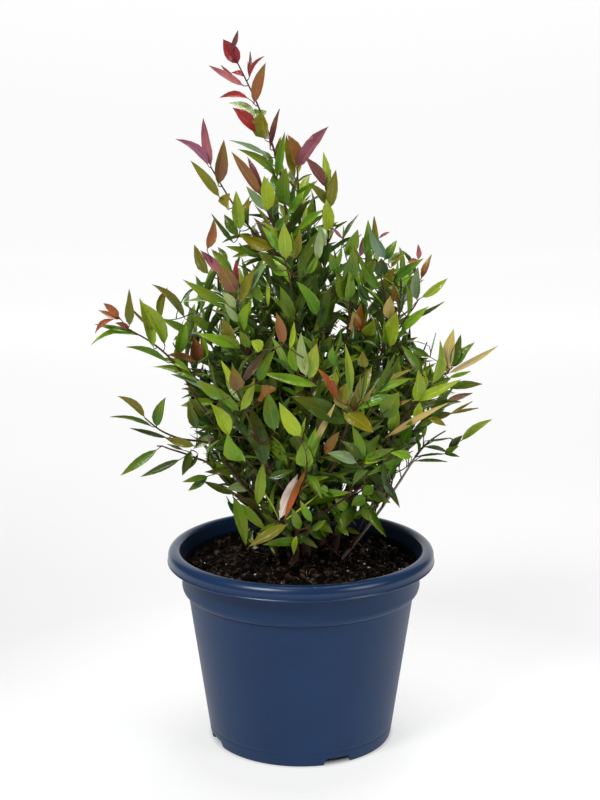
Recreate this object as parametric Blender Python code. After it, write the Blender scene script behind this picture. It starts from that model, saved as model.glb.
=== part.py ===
"""A potted red lip syzygium: a navy nursery pot, its soil and a bushy shrub of several stems.

The plant is drawn in metres with +Z up and -Y to the front. The origin is the middle of the flat
underside of the pot. Stems rise from the soil, boughs leave the stems, and every mass of foliage
grows from the tip or the side of one limb and keeps to the space that lies nearest to its own stem.
"""

import math
import random

import bmesh
import bpy
from mathutils import Matrix, Quaternion, Vector
from mathutils.bvhtree import BVHTree
from mathutils.kdtree import KDTree

GAP = 0.0003                  # left between pieces that touch
UP = Vector((0.0, 0.0, 1.0))

# Pot
POT_SIDES = 40
FOOT_RADIUS = 0.096           # outer wall where it meets the ground
SHOULDER_RADIUS = 0.1185      # top of the tapered wall, under the step
SHOULDER_HEIGHT = 0.157
COLLAR_RADIUS = 0.125
COLLAR_HEIGHT = 0.172         # where the step has reached the collar's full radius
RIM_RADIUS = 0.140
RIM_UNDERSIDE = 0.1915
RIM_CREST_RADIUS = 0.132
RIM_TOP = 0.2085
MOUTH_RADIUS = 0.1262
WALL = 0.003
FLOOR_UNDERSIDE = 0.009
FLOOR_TOP = 0.012
PAD_RADIUS = 0.022            # flat middle of the underside, level with the foot
SKIRT_THICKNESS = 0.004
EDGE = 0.002                  # softened corner at the foot

# Drainage notches in the foot
NOTCH_COUNT = 4
NOTCH_FIRST = math.radians(-70)   # from +X, so that one notch sits front right
NOTCH_WIDTH = 0.040
NOTCH_HEIGHT = 0.0075
NOTCH_SLOPE = 0.004           # how far each end leans in at the top

# Soil
SOIL_EDGE_HEIGHT = 0.186
SOIL_TOP = 0.1935
SOIL_CROWN_RADIUS = 0.062     # flat middle, where the stems stand

# Limbs
STEM_SIDES = 8
BOUGH_SIDES = 5
STEM_RINGS = 9
BOUGH_RINGS = 5
FLARE = 1.7                   # root flare at the soil, as a share of the stem's radius
FLARE_HEIGHT = 0.012
BEND = 0.45                   # how far a limb holds its first heading, as a share of its length
LIMB_CLEARANCE = 0.0012       # between a limb and foliage that isn't its own

# Foliage
TWIG_SIDES = 3
STALK_RADIUS = (0.0019, 0.0011)   # stem of a mass, foot and tip
TWIG_RADII = (0.0007, 0.0012, 0.0010)   # sunk foot, middle and tip of a side shoot
STALK_RINGS = 5
NODE_SPACING = 0.023          # between pairs of side shoots along a stalk
SHOOT_ANGLE = math.radians(50)
SHOOT_LIFT = 0.20             # how much a side shoot turns upwards
SHOOT_SHARES = (1.25, 0.65)   # length of the lowest and the highest side shoots, as shares of the reach
SHOOT_SPREAD = (0.75, 1.15)   # how much their lengths vary
LEAF_SPACING = 0.024          # between pairs of leaves along a shoot
STALK_BARE = 0.30             # share of a stalk below its first leaves
SHOOT_BARE = 0.019            # length of a side shoot below its first leaves
LEAF_ANGLE = math.radians(46)
TIP_LEAF_ANGLE = math.radians(20)
LEAF_WIDTH = 0.132            # half the width of a leaf, as a share of its length
LEAF_SPREAD = (0.85, 1.18)    # how much the leaves' lengths and widths vary
LEAF_SUNK = 0.0003            # root of a leaf past the middle of its twig
LEAF_DEPTH = 0.0005           # half the thickness of a leaf at its thickest
RIB_PLACE = 0.15              # where a leaf is thickest, as a share of its length
BELLY_PLACE = 0.38            # where a leaf is widest
CLOSING_PLACE = 0.0016        # of the last pair of leaves, short of the shoot's tip
LEAF_JITTER = 0.28            # radians
LEAF_TRIES = 5                # places tried for a leaf before it is skipped
SPACE_MARGIN = 0.0020         # how much nearer to its own stem a leaf stays
SPACE_STEPS = 30              # places on each stalk that the spaces are measured from
SOIL_CLEARANCE = 0.006
RIM_CLEARANCE = 0.006

# Stems: foot on the soil, tip, radius at foot and tip, bow (height of the bend over a straight run)
STEMS = {
    "leader_stem": ((0.006, 0.000), (-0.014, 0.000, 0.545), (0.0042, 0.0019), 0.00),
    "left_stem": ((-0.027, 0.004), (-0.078, 0.004, 0.385), (0.0034, 0.0018), 0.02),
    "right_stem": ((0.034, 0.006), (0.082, -0.004, 0.410), (0.0036, 0.0018), 0.01),
    "front_stem": ((-0.006, -0.024), (0.004, -0.078, 0.335), (0.0030, 0.0017), 0.02),
    "grey_stem": ((0.041, -0.014), (0.118, -0.004, 0.302), (0.0026, 0.0015), -0.01),
    "back_left_stem": ((-0.020, 0.028), (-0.058, 0.085, 0.375), (0.0034, 0.0018), 0.02),
    "back_right_stem": ((0.020, 0.030), (0.055, 0.088, 0.385), (0.0034, 0.0018), 0.02),
}

# Boughs: carrier, place along it, tip, radius at foot and tip, bow
BOUGHS = {
    "upper_front_bough": ("leader_stem", 0.50, (-0.004, -0.052, 0.438), (0.0019, 0.0014), -0.01),
    "upper_left_bough": ("leader_stem", 0.38, (-0.048, -0.050, 0.405), (0.0020, 0.0014), -0.01),
    "upper_back_bough": ("leader_stem", 0.46, (0.000, 0.052, 0.440), (0.0020, 0.0014), -0.01),
    "high_right_bough": ("leader_stem", 0.34, (0.044, -0.034, 0.415), (0.0020, 0.0014), -0.01),
    "left_outer_bough": ("left_stem", 0.62, (-0.118, -0.026, 0.392), (0.0019, 0.0014), 0.00),
    "left_low_bough": ("left_stem", 0.36, (-0.092, -0.022, 0.326), (0.0018, 0.0013), 0.01),
    "front_left_bough": ("front_stem", 0.55, (-0.040, -0.090, 0.335), (0.0018, 0.0013), -0.01),
    "front_right_bough": ("front_stem", 0.60, (0.040, -0.098, 0.345), (0.0018, 0.0013), -0.01),
    "right_high_bough": ("right_stem", 0.72, (0.098, 0.030, 0.425), (0.0018, 0.0013), -0.01),
    "right_edge_bough": ("right_stem", 0.60, (0.112, -0.012, 0.400), (0.0018, 0.0013), -0.01),
    "right_outer_bough": ("right_stem", 0.42, (0.104, -0.040, 0.352), (0.0018, 0.0013), 0.00),
    "right_low_bough": ("right_stem", 0.34, (0.104, 0.036, 0.335), (0.0018, 0.0013), 0.00),
    "back_left_bough": ("back_left_stem", 0.52, (-0.104, 0.092, 0.345), (0.0018, 0.0013), 0.00),
    "back_right_bough": ("back_right_stem", 0.52, (0.104, 0.098, 0.345), (0.0018, 0.0013), 0.00),
}

# Foliage: carrier, place along it, tip of its stem, reach of its side shoots, leaf length, tint
MASSES = {
    "leader_foliage": ("leader_stem", 1.00, (-0.062, 0.010, 0.700), 0.022, 0.038, "red"),
    "top_left_foliage": ("leader_stem", 0.88, (-0.088, -0.034, 0.602), 0.020, 0.046, "red"),
    "top_middle_foliage": ("leader_stem", 0.92, (-0.040, -0.046, 0.580), 0.020, 0.044, "bronze"),
    "top_right_foliage": ("leader_stem", 0.82, (-0.004, 0.034, 0.597), 0.024, 0.048, "bronze"),
    "right_shoulder_foliage": ("leader_stem", 0.72, (0.026, -0.020, 0.576), 0.028, 0.042, "green"),
    "upper_front_foliage": ("upper_front_bough", 1.00, (-0.016, -0.086, 0.520), 0.042, 0.048, "green"),
    "left_shoulder_foliage": ("upper_left_bough", 1.00, (-0.064, -0.078, 0.480), 0.038, 0.046, "bronze"),
    "upper_back_foliage": ("upper_back_bough", 1.00, (0.000, 0.082, 0.540), 0.044, 0.050, "green"),
    "high_right_foliage": ("high_right_bough", 1.00, (0.050, -0.062, 0.505), 0.040, 0.048, "green"),
    "left_high_foliage": ("left_stem", 1.00, (-0.120, 0.030, 0.460), 0.036, 0.048, "green"),
    "left_outer_foliage": ("left_outer_bough", 1.00, (-0.172, -0.045, 0.444), 0.028, 0.042, "lime"),
    "left_middle_foliage": ("left_stem", 0.52, (-0.112, -0.074, 0.395), 0.040, 0.050, "green"),
    "left_low_foliage": ("left_low_bough", 1.00, (-0.154, -0.050, 0.356), 0.028, 0.046, "olive"),
    "left_bottom_foliage": ("left_stem", 0.28, (-0.132, 0.016, 0.322), 0.030, 0.048, "green"),
    "front_high_foliage": ("front_stem", 1.00, (0.018, -0.128, 0.446), 0.044, 0.050, "green"),
    "front_left_foliage": ("front_left_bough", 1.00, (-0.064, -0.130, 0.408), 0.042, 0.050, "lime"),
    "front_right_foliage": ("front_right_bough", 1.00, (0.056, -0.144, 0.394), 0.042, 0.052, "olive"),
    "front_low_foliage": ("front_stem", 0.46, (-0.012, -0.136, 0.318), 0.042, 0.050, "green"),
    "front_bottom_left_foliage": ("front_stem", 0.32, (-0.076, -0.086, 0.292), 0.038, 0.048, "lime"),
    "front_bottom_right_foliage": ("front_stem", 0.36, (0.062, -0.106, 0.300), 0.038, 0.048, "green"),
    "base_left_foliage": ("left_stem", 0.10, (-0.058, -0.044, 0.246), 0.028, 0.046, "green"),
    "base_front_foliage": ("front_stem", 0.14, (-0.004, -0.078, 0.250), 0.028, 0.046, "lime"),
    "base_right_foliage": ("grey_stem", 0.24, (0.064, -0.054, 0.252), 0.028, 0.046, "green"),
    "right_upper_foliage": ("right_stem", 1.00, (0.074, -0.036, 0.512), 0.038, 0.046, "green"),
    "right_high_foliage": ("right_high_bough", 1.00, (0.104, 0.046, 0.486), 0.034, 0.046, "green"),
    "right_edge_foliage": ("right_edge_bough", 1.00, (0.124, -0.016, 0.458), 0.032, 0.044, "lime"),
    "right_outer_foliage": ("right_outer_bough", 1.00, (0.150, -0.052, 0.406), 0.034, 0.050, "orange"),
    "right_low_foliage": ("right_low_bough", 1.00, (0.152, 0.046, 0.378), 0.036, 0.048, "green"),
    "right_bottom_foliage": ("grey_stem", 1.00, (0.150, 0.006, 0.328), 0.020, 0.046, "lime"),
    "right_inner_foliage": ("grey_stem", 0.62, (0.092, -0.070, 0.302), 0.034, 0.048, "green"),
    "back_left_upper_foliage": ("back_left_stem", 1.00, (-0.074, 0.112, 0.468), 0.042, 0.052, "green"),
    "back_left_outer_foliage": ("back_left_bough", 1.00, (-0.140, 0.112, 0.402), 0.038, 0.052, "green"),
    "back_left_low_foliage": ("back_left_stem", 0.34, (-0.066, 0.126, 0.300), 0.038, 0.050, "olive"),
    "back_right_upper_foliage": ("back_right_stem", 1.00, (0.068, 0.116, 0.480), 0.042, 0.052, "green"),
    "back_right_outer_foliage": ("back_right_bough", 1.00, (0.138, 0.114, 0.402), 0.038, 0.052, "green"),
    "back_right_low_foliage": ("back_right_stem", 0.34, (0.064, 0.130, 0.300), 0.038, 0.050, "lime"),
    "back_middle_foliage": ("back_right_stem", 0.60, (0.000, 0.144, 0.402), 0.042, 0.052, "green"),
}

TINTS = {
    "green": (0.05, 0.16, 0.03),
    "lime": (0.26, 0.40, 0.06),
    "olive": (0.16, 0.17, 0.04),
    "bronze": (0.28, 0.12, 0.06),
    "orange": (0.45, 0.16, 0.05),
    "red": (0.36, 0.05, 0.04),
}


def clear_scene():
    for item in list(bpy.data.objects):
        bpy.data.objects.remove(item, do_unlink=True)


def make_material(name, color, roughness):
    material = bpy.data.materials.new(name)
    material.use_nodes = True
    shader = material.node_tree.nodes["Principled BSDF"]
    shader.inputs["Base Color"].default_value = (*color, 1.0)
    shader.inputs["Roughness"].default_value = roughness
    shader.inputs["Metallic"].default_value = 0.0
    return material


def make_materials():
    materials = {
        "pot": make_material("pot_plastic", (0.025, 0.050, 0.115), 0.42),
        "soil": make_material("soil", (0.018, 0.013, 0.010), 0.95),
        "bark": make_material("bark", (0.11, 0.07, 0.05), 0.80),
        "grey_bark": make_material("grey_bark", (0.30, 0.26, 0.23), 0.85),
    }
    for tint, color in TINTS.items():
        materials[tint] = make_material("foliage_" + tint, color, 0.40)
    return materials


def make_object(name, shape, material, smooth_angle=None):
    """Turn a bmesh into a named object with one material."""
    mesh = bpy.data.meshes.new(name)
    shape.to_mesh(mesh)
    shape.free()
    if smooth_angle is not None:
        mesh.shade_smooth()
        mesh.set_sharp_from_angle(angle=smooth_angle)
    piece = bpy.data.objects.new(name, mesh)
    piece.data.materials.append(material)
    bpy.context.scene.collection.objects.link(piece)
    return piece


# Pot and soil

def arc(center, radii, start, end, count):
    """Points (radius, height) on a stretch of an ellipse, angles in degrees."""
    points = []
    for step in range(count):
        angle = math.radians(start + (end - start) * step / (count - 1))
        points.append((center[0] + radii[0] * math.cos(angle), center[1] + radii[1] * math.sin(angle)))
    return points


def turned(profile, sides):
    """A closed solid turned about Z from (radius, height) points that start and end on the axis."""
    shape = bmesh.new()
    points = [shape.verts.new((radius, 0.0, height)) for radius, height in profile]
    edges = [shape.edges.new(pair) for pair in zip(points, points[1:])]
    bmesh.ops.spin(shape, geom=points + edges, cent=(0, 0, 0), axis=UP, angle=2 * math.pi,
                   steps=sides, use_merge=True, use_duplicate=False)
    bmesh.ops.remove_doubles(shape, verts=shape.verts, dist=0.00001)
    bmesh.ops.recalc_face_normals(shape, faces=shape.faces)
    return shape


def inner_radius(height):
    """Radius of the pot's inside at a height, along the wall and then the collar."""
    slope = (SHOULDER_RADIUS - FOOT_RADIUS) / SHOULDER_HEIGHT
    if height <= SHOULDER_HEIGHT:
        return FOOT_RADIUS + slope * height - WALL
    share = min(1.0, (height - SHOULDER_HEIGHT) / (COLLAR_HEIGHT - SHOULDER_HEIGHT))
    return SHOULDER_RADIUS + (COLLAR_RADIUS - SHOULDER_RADIUS) * share - WALL


def pot_profile():
    rim_middle = (RIM_UNDERSIDE + RIM_TOP) / 2
    outer_curl = arc((RIM_CREST_RADIUS, rim_middle), (RIM_RADIUS - RIM_CREST_RADIUS, RIM_TOP - rim_middle),
                     -60, 90, 7)
    inner_curl = arc((RIM_CREST_RADIUS, RIM_TOP - 0.005), (RIM_CREST_RADIUS - MOUTH_RADIUS, 0.005),
                     90, 180, 4)[1:]
    skirt_inside = FOOT_RADIUS - SKIRT_THICKNESS
    underside = [(0, 0), (PAD_RADIUS, 0), (PAD_RADIUS + EDGE, FLOOR_UNDERSIDE),
                 (skirt_inside - EDGE, FLOOR_UNDERSIDE), (skirt_inside, 0), (FOOT_RADIUS - EDGE, 0)]
    outside = [(FOOT_RADIUS, EDGE), (SHOULDER_RADIUS, SHOULDER_HEIGHT),
               (SHOULDER_RADIUS + 0.0035, SHOULDER_HEIGHT + 0.003), (COLLAR_RADIUS, COLLAR_HEIGHT),
               (COLLAR_RADIUS, RIM_UNDERSIDE - 0.0015), (COLLAR_RADIUS + 0.0015, RIM_UNDERSIDE)]
    inside = [(inner_radius(height), height) for height in
              (RIM_UNDERSIDE, COLLAR_HEIGHT, SHOULDER_HEIGHT, FLOOR_TOP)]
    return underside + outside + outer_curl + inner_curl + inside + [(0, FLOOR_TOP)]


def notch_cutter():
    """Four trapezoid blocks that cut the drainage notches through the skirt."""
    shape = bmesh.new()
    reach = (FOOT_RADIUS - SKIRT_THICKNESS / 2, 4 * SKIRT_THICKNESS)
    for index in range(NOTCH_COUNT):
        turn = Matrix.Rotation(NOTCH_FIRST + index * 2 * math.pi / NOTCH_COUNT, 4, "Z")
        size = Matrix.Diagonal((reach[1], NOTCH_WIDTH, 2 * NOTCH_HEIGHT, 1.0))
        block = bmesh.ops.create_cube(shape, size=1.0, matrix=Matrix.Translation((reach[0], 0, 0)) @ size)
        for vert in block["verts"]:
            if vert.co.z > 0:
                vert.co.y -= math.copysign(NOTCH_SLOPE, vert.co.y)
        bmesh.ops.transform(shape, matrix=turn, verts=block["verts"])
    return shape


def build_pot(materials):
    cutter = make_object("notch_cutter", notch_cutter(), materials["pot"])
    cutter.hide_render = True
    cutter.display_type = "WIRE"
    pot = make_object("pot", turned(pot_profile(), POT_SIDES), materials["pot"], math.radians(35))
    cut = pot.modifiers.new("Notches", "BOOLEAN")
    cut.operation = "DIFFERENCE"
    cut.solver = "EXACT"
    cut.object = cutter
    return pot


def build_soil(materials):
    heights = (FLOOR_TOP + GAP, SHOULDER_HEIGHT, COLLAR_HEIGHT, SOIL_EDGE_HEIGHT)
    side = [(inner_radius(height) - GAP, height) for height in heights]
    profile = [(0, heights[0])] + side + [(SOIL_CROWN_RADIUS, SOIL_TOP), (0, SOIL_TOP)]
    return make_object("soil", turned(profile, POT_SIDES), materials["soil"], math.radians(35))


# Curved limbs

def bend(foot, control, tip, count):
    """Points on a quadratic curve."""
    points = []
    for step in range(count):
        t = step / (count - 1)
        points.append(foot * (1 - t) ** 2 + control * 2 * t * (1 - t) + tip * t ** 2)
    return points


def along(points, place):
    """Point and heading at a share of a line of points."""
    position = place * (len(points) - 1)
    index = min(int(position), len(points) - 2)
    point = points[index].lerp(points[index + 1], position - index)
    return point, (points[index + 1] - points[index]).normalized()


def frames_along(points, radii):
    """A placed and scaled frame for each ring of a tube, turned as little as possible."""
    frames = []
    turn = None
    for index, (point, radius) in enumerate(zip(points, radii)):
        ahead = points[min(index + 1, len(points) - 1)] - points[max(index - 1, 0)]
        ahead.normalize()
        if turn is None:
            turn = UP.rotation_difference(ahead)
        else:
            turn = (turn @ UP).rotation_difference(ahead) @ turn
        frames.append(Matrix.LocRotScale(point, turn, Vector((radius, radius, radius))))
    return frames


def tube(points, radii, sides, seat=None):
    """A closed tapering tube; seat is a plane (point, normal) that its foot is cut to."""
    shape = bmesh.new()
    frames = frames_along(points, radii)
    bmesh.ops.create_circle(shape, cap_ends=True, segments=sides, radius=1.0, matrix=frames[0])
    foot = list(shape.verts)
    edges = list(shape.edges)
    for before, after in zip(frames, frames[1:]):
        grown = bmesh.ops.extrude_edge_only(shape, edges=edges)["geom"]
        ring = [item for item in grown if isinstance(item, bmesh.types.BMVert)]
        edges = [edge for edge in shape.edges if edge.verts[0] in ring and edge.verts[1] in ring]
        bmesh.ops.transform(shape, matrix=after @ before.inverted(), verts=ring)
    bmesh.ops.edgeloop_fill(shape, edges=edges)
    if seat is not None:
        point, normal = seat
        heading = (points[1] - points[0]).normalized()
        for vert in foot:
            vert.co += heading * ((point - vert.co).dot(normal) / heading.dot(normal))
    bmesh.ops.recalc_face_normals(shape, faces=shape.faces)
    return shape


def taper(start, end, count):
    return [start + (end - start) * step / (count - 1) for step in range(count)]


class Limb:
    """A stem or bough: its middle line, the radius along it, and its inflated shape for clearance."""

    def __init__(self, points, radii, sides):
        self.points = points
        self.radii = radii
        wide = tube(points, [radius + LIMB_CLEARANCE for radius in radii], sides)
        self.shadow = BVHTree.FromBMesh(wide)
        wide.free()

    def radius_at(self, place):
        position = place * (len(self.radii) - 1)
        index = min(int(position), len(self.radii) - 2)
        return self.radii[index] + (self.radii[index + 1] - self.radii[index]) * (position - index)

    def seat(self, place, tip):
        """Foot, heading and seat plane of something that this limb carries towards tip."""
        point, heading = along(self.points, place)
        if place >= 1.0:
            point = point + heading * GAP
            return point, heading, (point, heading)
        way = (tip - point).normalized()
        outward = (way - heading * way.dot(heading)).normalized()
        start = point + outward * (self.radius_at(place) + GAP)
        return start, (outward + heading).normalized(), (start, outward)


def build_stem(name, materials):
    foot, tip, radii, bow = STEMS[name]
    start = Vector((*foot, SOIL_TOP + GAP))
    end = Vector(tip)
    points = bend(start, (start + end) / 2 + UP * bow, end, STEM_RINGS)
    thickness = taper(*radii, STEM_RINGS)
    points.insert(1, along([points[0], points[1]], FLARE_HEIGHT / (points[1] - points[0]).length)[0])
    thickness.insert(1, thickness[0])
    thickness[0] *= FLARE
    limb = Limb(points, thickness, STEM_SIDES)
    bark = materials["grey_bark" if name == "grey_stem" else "bark"]
    shape = tube(points, thickness, STEM_SIDES, seat=(start, UP))
    make_object(name, shape, bark, math.radians(60))
    return limb


def build_bough(name, limbs, materials):
    carrier, place, tip, radii, bow = BOUGHS[name]
    end = Vector(tip)
    start, heading, seat = limbs[carrier].seat(place, end)
    middle = start + heading * (end - start).length * BEND
    points = bend(start, middle + UP * bow, end, BOUGH_RINGS)
    thickness = taper(*radii, BOUGH_RINGS)
    make_object(name, tube(points, thickness, BOUGH_SIDES, seat=seat), materials["bark"], math.radians(60))
    return Limb(points, thickness, BOUGH_SIDES)


# Foliage

class Stalk:
    """The stem of one mass of foliage, and the rest of its plan."""

    def __init__(self, name, limbs):
        carrier, place, tip, self.reach, self.leaf, self.tint = MASSES[name]
        self.name = name
        end = Vector(tip)
        start, heading, self.seat = limbs[carrier].seat(place, end)
        self.points = bend(start, start + heading * (end - start).length * BEND, end, STALK_RINGS)
        self.radii = taper(*STALK_RADIUS, STALK_RINGS)
        self.length = sum((b - a).length for a, b in zip(self.points, self.points[1:]))


def space_trees(stalks):
    """For each stalk, a tree of places on its own stem and one of places on all the others."""
    samples = {}
    for stalk in stalks:
        samples[stalk.name] = [along(stalk.points, step / SPACE_STEPS)[0] for step in range(SPACE_STEPS + 1)]
    trees = {}
    for stalk in stalks:
        own = samples[stalk.name]
        others = [point for name in samples if name != stalk.name for point in samples[name]]
        trees[stalk.name] = (make_tree(own), make_tree(others))
    return trees


def make_tree(points):
    tree = KDTree(len(points))
    for index, point in enumerate(points):
        tree.insert(point, index)
    tree.balance()
    return tree


def over_soil(point):
    """Whether a point is clear of the soil and the pot."""
    radius = math.hypot(point.x, point.y)
    if radius > inner_radius(SOIL_EDGE_HEIGHT) - RIM_CLEARANCE:
        return point.z > RIM_TOP + RIM_CLEARANCE
    return point.z > SOIL_TOP + SOIL_CLEARANCE


def in_space(points, trees):
    """Whether all points stay nearer to their own stem than to any other, and above the soil."""
    own, others = trees
    for point in points:
        if own.find(point)[2] + SPACE_MARGIN > others.find(point)[2] or not over_soil(point):
            return False
    return True


def side_vector(heading, roll):
    """A direction square to the heading, turned round it by roll."""
    level = heading.cross(UP)
    if level.length < 0.05:
        level = heading.cross(Vector((0.0, 1.0, 0.0)))
    return Quaternion(heading, roll) @ level.normalized()


def side_shoots(stalk):
    """Pairs of side shoots up a stalk, each pair turned a quarter from the last."""
    rng = random.Random(stalk.name)
    phase = rng.uniform(0, math.pi)
    pairs = max(2, round(stalk.length / NODE_SPACING) - 1)
    lowest, highest = SHOOT_SHARES
    shoots = []
    for pair in range(pairs):
        place = (pair + 1) / (pairs + 1)
        foot, heading = along(stalk.points, place)
        roll = phase + pair * math.pi / 2 + rng.uniform(-LEAF_JITTER, LEAF_JITTER)
        for side in (0, math.pi):
            outward = side_vector(heading, roll + side)
            way = heading * math.cos(SHOOT_ANGLE) + outward * math.sin(SHOOT_ANGLE)
            share = lowest + (highest - lowest) * place
            length = stalk.reach * share * rng.uniform(*SHOOT_SPREAD)
            middle = foot + way * length * 0.5
            tip = foot + (way + UP * SHOOT_LIFT).normalized() * length
            shoots.append(bend(foot, middle, tip, 3))
    return shoots


def leaf_places(points, first, rng):
    """Point, heading, roll and angle of each leaf along a shoot, with a closing pair at its tip."""
    length = sum((b - a).length for a, b in zip(points, points[1:]))
    roll = rng.uniform(0, math.pi)
    count = max(0, round((length - first) / LEAF_SPACING))
    places = []
    for node in range(count + 1):
        closing = node == count
        place = 1.0 - CLOSING_PLACE / length if closing else (first + node * LEAF_SPACING) / length
        point, heading = along(points, place)
        angle = TIP_LEAF_ANGLE if closing else LEAF_ANGLE
        places.append((point, heading, roll + node * math.pi / 2, angle))
        places.append((point, heading, roll + node * math.pi / 2 + math.pi, angle))
    return places


def leaf_corners(place, typical, jitter, rng):
    """Corners of a leaf: its sunk root, two on the midrib, left and right edge, and the tip."""
    point, heading, roll, angle = place
    angle += rng.uniform(-jitter, jitter) / 2
    outward = side_vector(heading, roll + rng.uniform(-jitter, jitter))
    way = heading * math.cos(angle) + outward * math.sin(angle)
    face = heading * math.sin(angle) - outward * math.cos(angle)
    length = typical * rng.uniform(*LEAF_SPREAD)
    half = way.cross(face) * length * LEAF_WIDTH * rng.uniform(*LEAF_SPREAD)
    rib = point + way * length * RIB_PLACE
    belly = point + way * length * BELLY_PLACE
    return [point - way * LEAF_SUNK, rib + face * LEAF_DEPTH, rib - face * LEAF_DEPTH,
            belly + half, belly - half, point + way * length]


def hull(corners):
    """A closed solid round a few corners."""
    shape = bmesh.new()
    for corner in corners:
        shape.verts.new(corner)
    bmesh.ops.convex_hull(shape, input=shape.verts)
    bmesh.ops.recalc_face_normals(shape, faces=shape.faces)
    return shape


def shadow_of(shape):
    """The surface of a shape, to test what it would cut through."""
    return BVHTree.FromBMesh(shape)


def free_part(corners):
    """The surface of a leaf without its root, which always meets its own twig."""
    shape = hull(corners[1:])
    shadow = shadow_of(shape)
    shape.free()
    return shadow


def largest_body(mesh):
    """Keep the largest closed body of a fused mesh, which drops scraps and sealed hollows."""
    shape = bmesh.new()
    shape.from_mesh(mesh)
    left = set(shape.faces)
    bodies = []
    while left:
        body = [left.pop()]
        for face in body:
            for edge in face.edges:
                for other in edge.link_faces:
                    if other in left:
                        left.remove(other)
                        body.append(other)
        bodies.append(body)
    bodies.sort(key=len)
    scraps = [face for body in bodies[:-1] for face in body]
    bmesh.ops.delete(shape, geom=scraps, context="FACES")
    shape.to_mesh(mesh)
    shape.free()


def fuse(core, parts):
    """Join the parts to the core by one Boolean union."""
    group = bpy.data.collections.new(core.name + "_parts")
    bpy.context.scene.collection.children.link(group)
    for part in parts:
        bpy.context.scene.collection.objects.unlink(part)
        group.objects.link(part)
    union = core.modifiers.new("Fuse", "BOOLEAN")
    union.operation = "UNION"
    union.operand_type = "COLLECTION"
    union.solver = "EXACT"
    union.collection = group
    bpy.context.view_layer.update()
    depsgraph = bpy.context.evaluated_depsgraph_get()
    joined = bpy.data.meshes.new_from_object(core.evaluated_get(depsgraph))
    core.modifiers.clear()
    core.data = joined
    for part in parts:
        bpy.data.objects.remove(part, do_unlink=True)
    bpy.data.collections.remove(group)
    largest_body(core.data)


def touches(shadow, shadows):
    return any(shadow.overlap(other) for other in shadows)


def build_mass(stalk, trees, limbs, materials):
    """One mass: its stem, its side shoots and their leaves, fused."""
    rng = random.Random(stalk.name + " leaves")
    material = materials[stalk.tint]
    stem = tube(stalk.points, stalk.radii, TWIG_SIDES, seat=stalk.seat)
    blocked = [limb.shadow for limb in limbs.values()]
    shoots = [(stalk.points, stalk.length * STALK_BARE)]
    taken = [shadow_of(stem)]
    parts = []
    for points in side_shoots(stalk):
        shape = tube(points, TWIG_RADII, TWIG_SIDES)
        shadow = shadow_of(shape)
        if in_space(points[1:], trees) and not touches(shadow, blocked + taken[1:]):
            shoots.append((points, SHOOT_BARE))
            taken.append(shadow)
            parts.append(make_object(stalk.name + "_twig", shape, material))
        else:
            shape.free()
    for points, first in shoots:
        for place in leaf_places(points, first, rng):
            for attempt in range(LEAF_TRIES):
                corners = leaf_corners(place, stalk.leaf, LEAF_JITTER * (1 + attempt), rng)
                shadow = free_part(corners)
                if in_space(corners[3:], trees) and not touches(shadow, blocked + taken):
                    taken.append(shadow)
                    parts.append(make_object(stalk.name + "_leaf", hull(corners), material))
                    break
    fuse(make_object(stalk.name, stem, material), parts)


def main():
    clear_scene()
    materials = make_materials()
    build_pot(materials)
    build_soil(materials)
    limbs = {name: build_stem(name, materials) for name in STEMS}
    for name in BOUGHS:
        limbs[name] = build_bough(name, limbs, materials)
    stalks = [Stalk(name, limbs) for name in MASSES]
    trees = space_trees(stalks)
    for stalk in stalks:
        build_mass(stalk, trees[stalk.name], limbs, materials)


main()
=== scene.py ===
"""Looks of a potted red lip syzygium: a navy nursery pot, crumbly soil, bark, twigs and leaves by tint."""

import math
import random

import bmesh
import bpy
import numpy as np
from mathutils import Matrix, Quaternion, Vector, noise
from mathutils.bvhtree import BVHTree
from mathutils.kdtree import KDTree


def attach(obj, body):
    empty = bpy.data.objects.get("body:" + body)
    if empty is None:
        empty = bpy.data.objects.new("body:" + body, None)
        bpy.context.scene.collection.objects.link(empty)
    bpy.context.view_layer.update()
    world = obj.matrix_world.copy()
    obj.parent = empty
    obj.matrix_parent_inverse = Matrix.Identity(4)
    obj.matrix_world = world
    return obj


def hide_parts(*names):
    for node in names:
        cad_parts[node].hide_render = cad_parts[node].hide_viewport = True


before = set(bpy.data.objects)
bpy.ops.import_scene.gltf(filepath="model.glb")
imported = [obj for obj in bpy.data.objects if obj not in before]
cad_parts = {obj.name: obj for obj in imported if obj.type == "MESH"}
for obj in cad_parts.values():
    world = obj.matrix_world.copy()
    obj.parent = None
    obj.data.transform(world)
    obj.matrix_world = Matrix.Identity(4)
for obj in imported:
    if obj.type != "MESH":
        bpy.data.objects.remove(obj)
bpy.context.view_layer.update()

GAP = 0.0003                  # left between pieces that touch
UP = Vector((0.0, 0.0, 1.0))
BACK = Vector((0.0, 1.0, 0.0))
MILLIMETRE = 0.001
SAME_PLACE = 0.00001          # corners of a turned shape nearer than this are joined

# Pot: rounder than its solid, with the top of its rim 2 mm lower
POT_SIDES = 160
POT_CREASE = math.radians(38)     # edges that turn further than this stay sharp
FOOT_RADIUS = 0.096           # outer wall where it meets the ground
SHOULDER_RADIUS = 0.1185      # top of the tapered wall, under the step
SHOULDER_HEIGHT = 0.157
COLLAR_RADIUS = 0.125
COLLAR_HEIGHT = 0.168         # where the collar's side begins to run straight up
COLLAR_FILLET = 0.0015        # round corner between the collar and the rim's underside
RIM_RADIUS = 0.140
RIM_UNDERSIDE = 0.1918
RIM_FACE_HEIGHT = 0.1985      # where the rim's face turns into its round top
RIM_CREST_RADIUS = 0.1315
RIM_TOP = 0.2064
RIM_SLACK = (0.0005, 0.0001)  # how far inside the mouth and under the rim its finish starts
LIP = 0.0007                  # how far the rim's lower edge stands proud of its face
MOUTH_RADIUS = 0.1262
MOUTH_CURL = 0.005            # height of the round edge between the crest and the mouth
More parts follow.
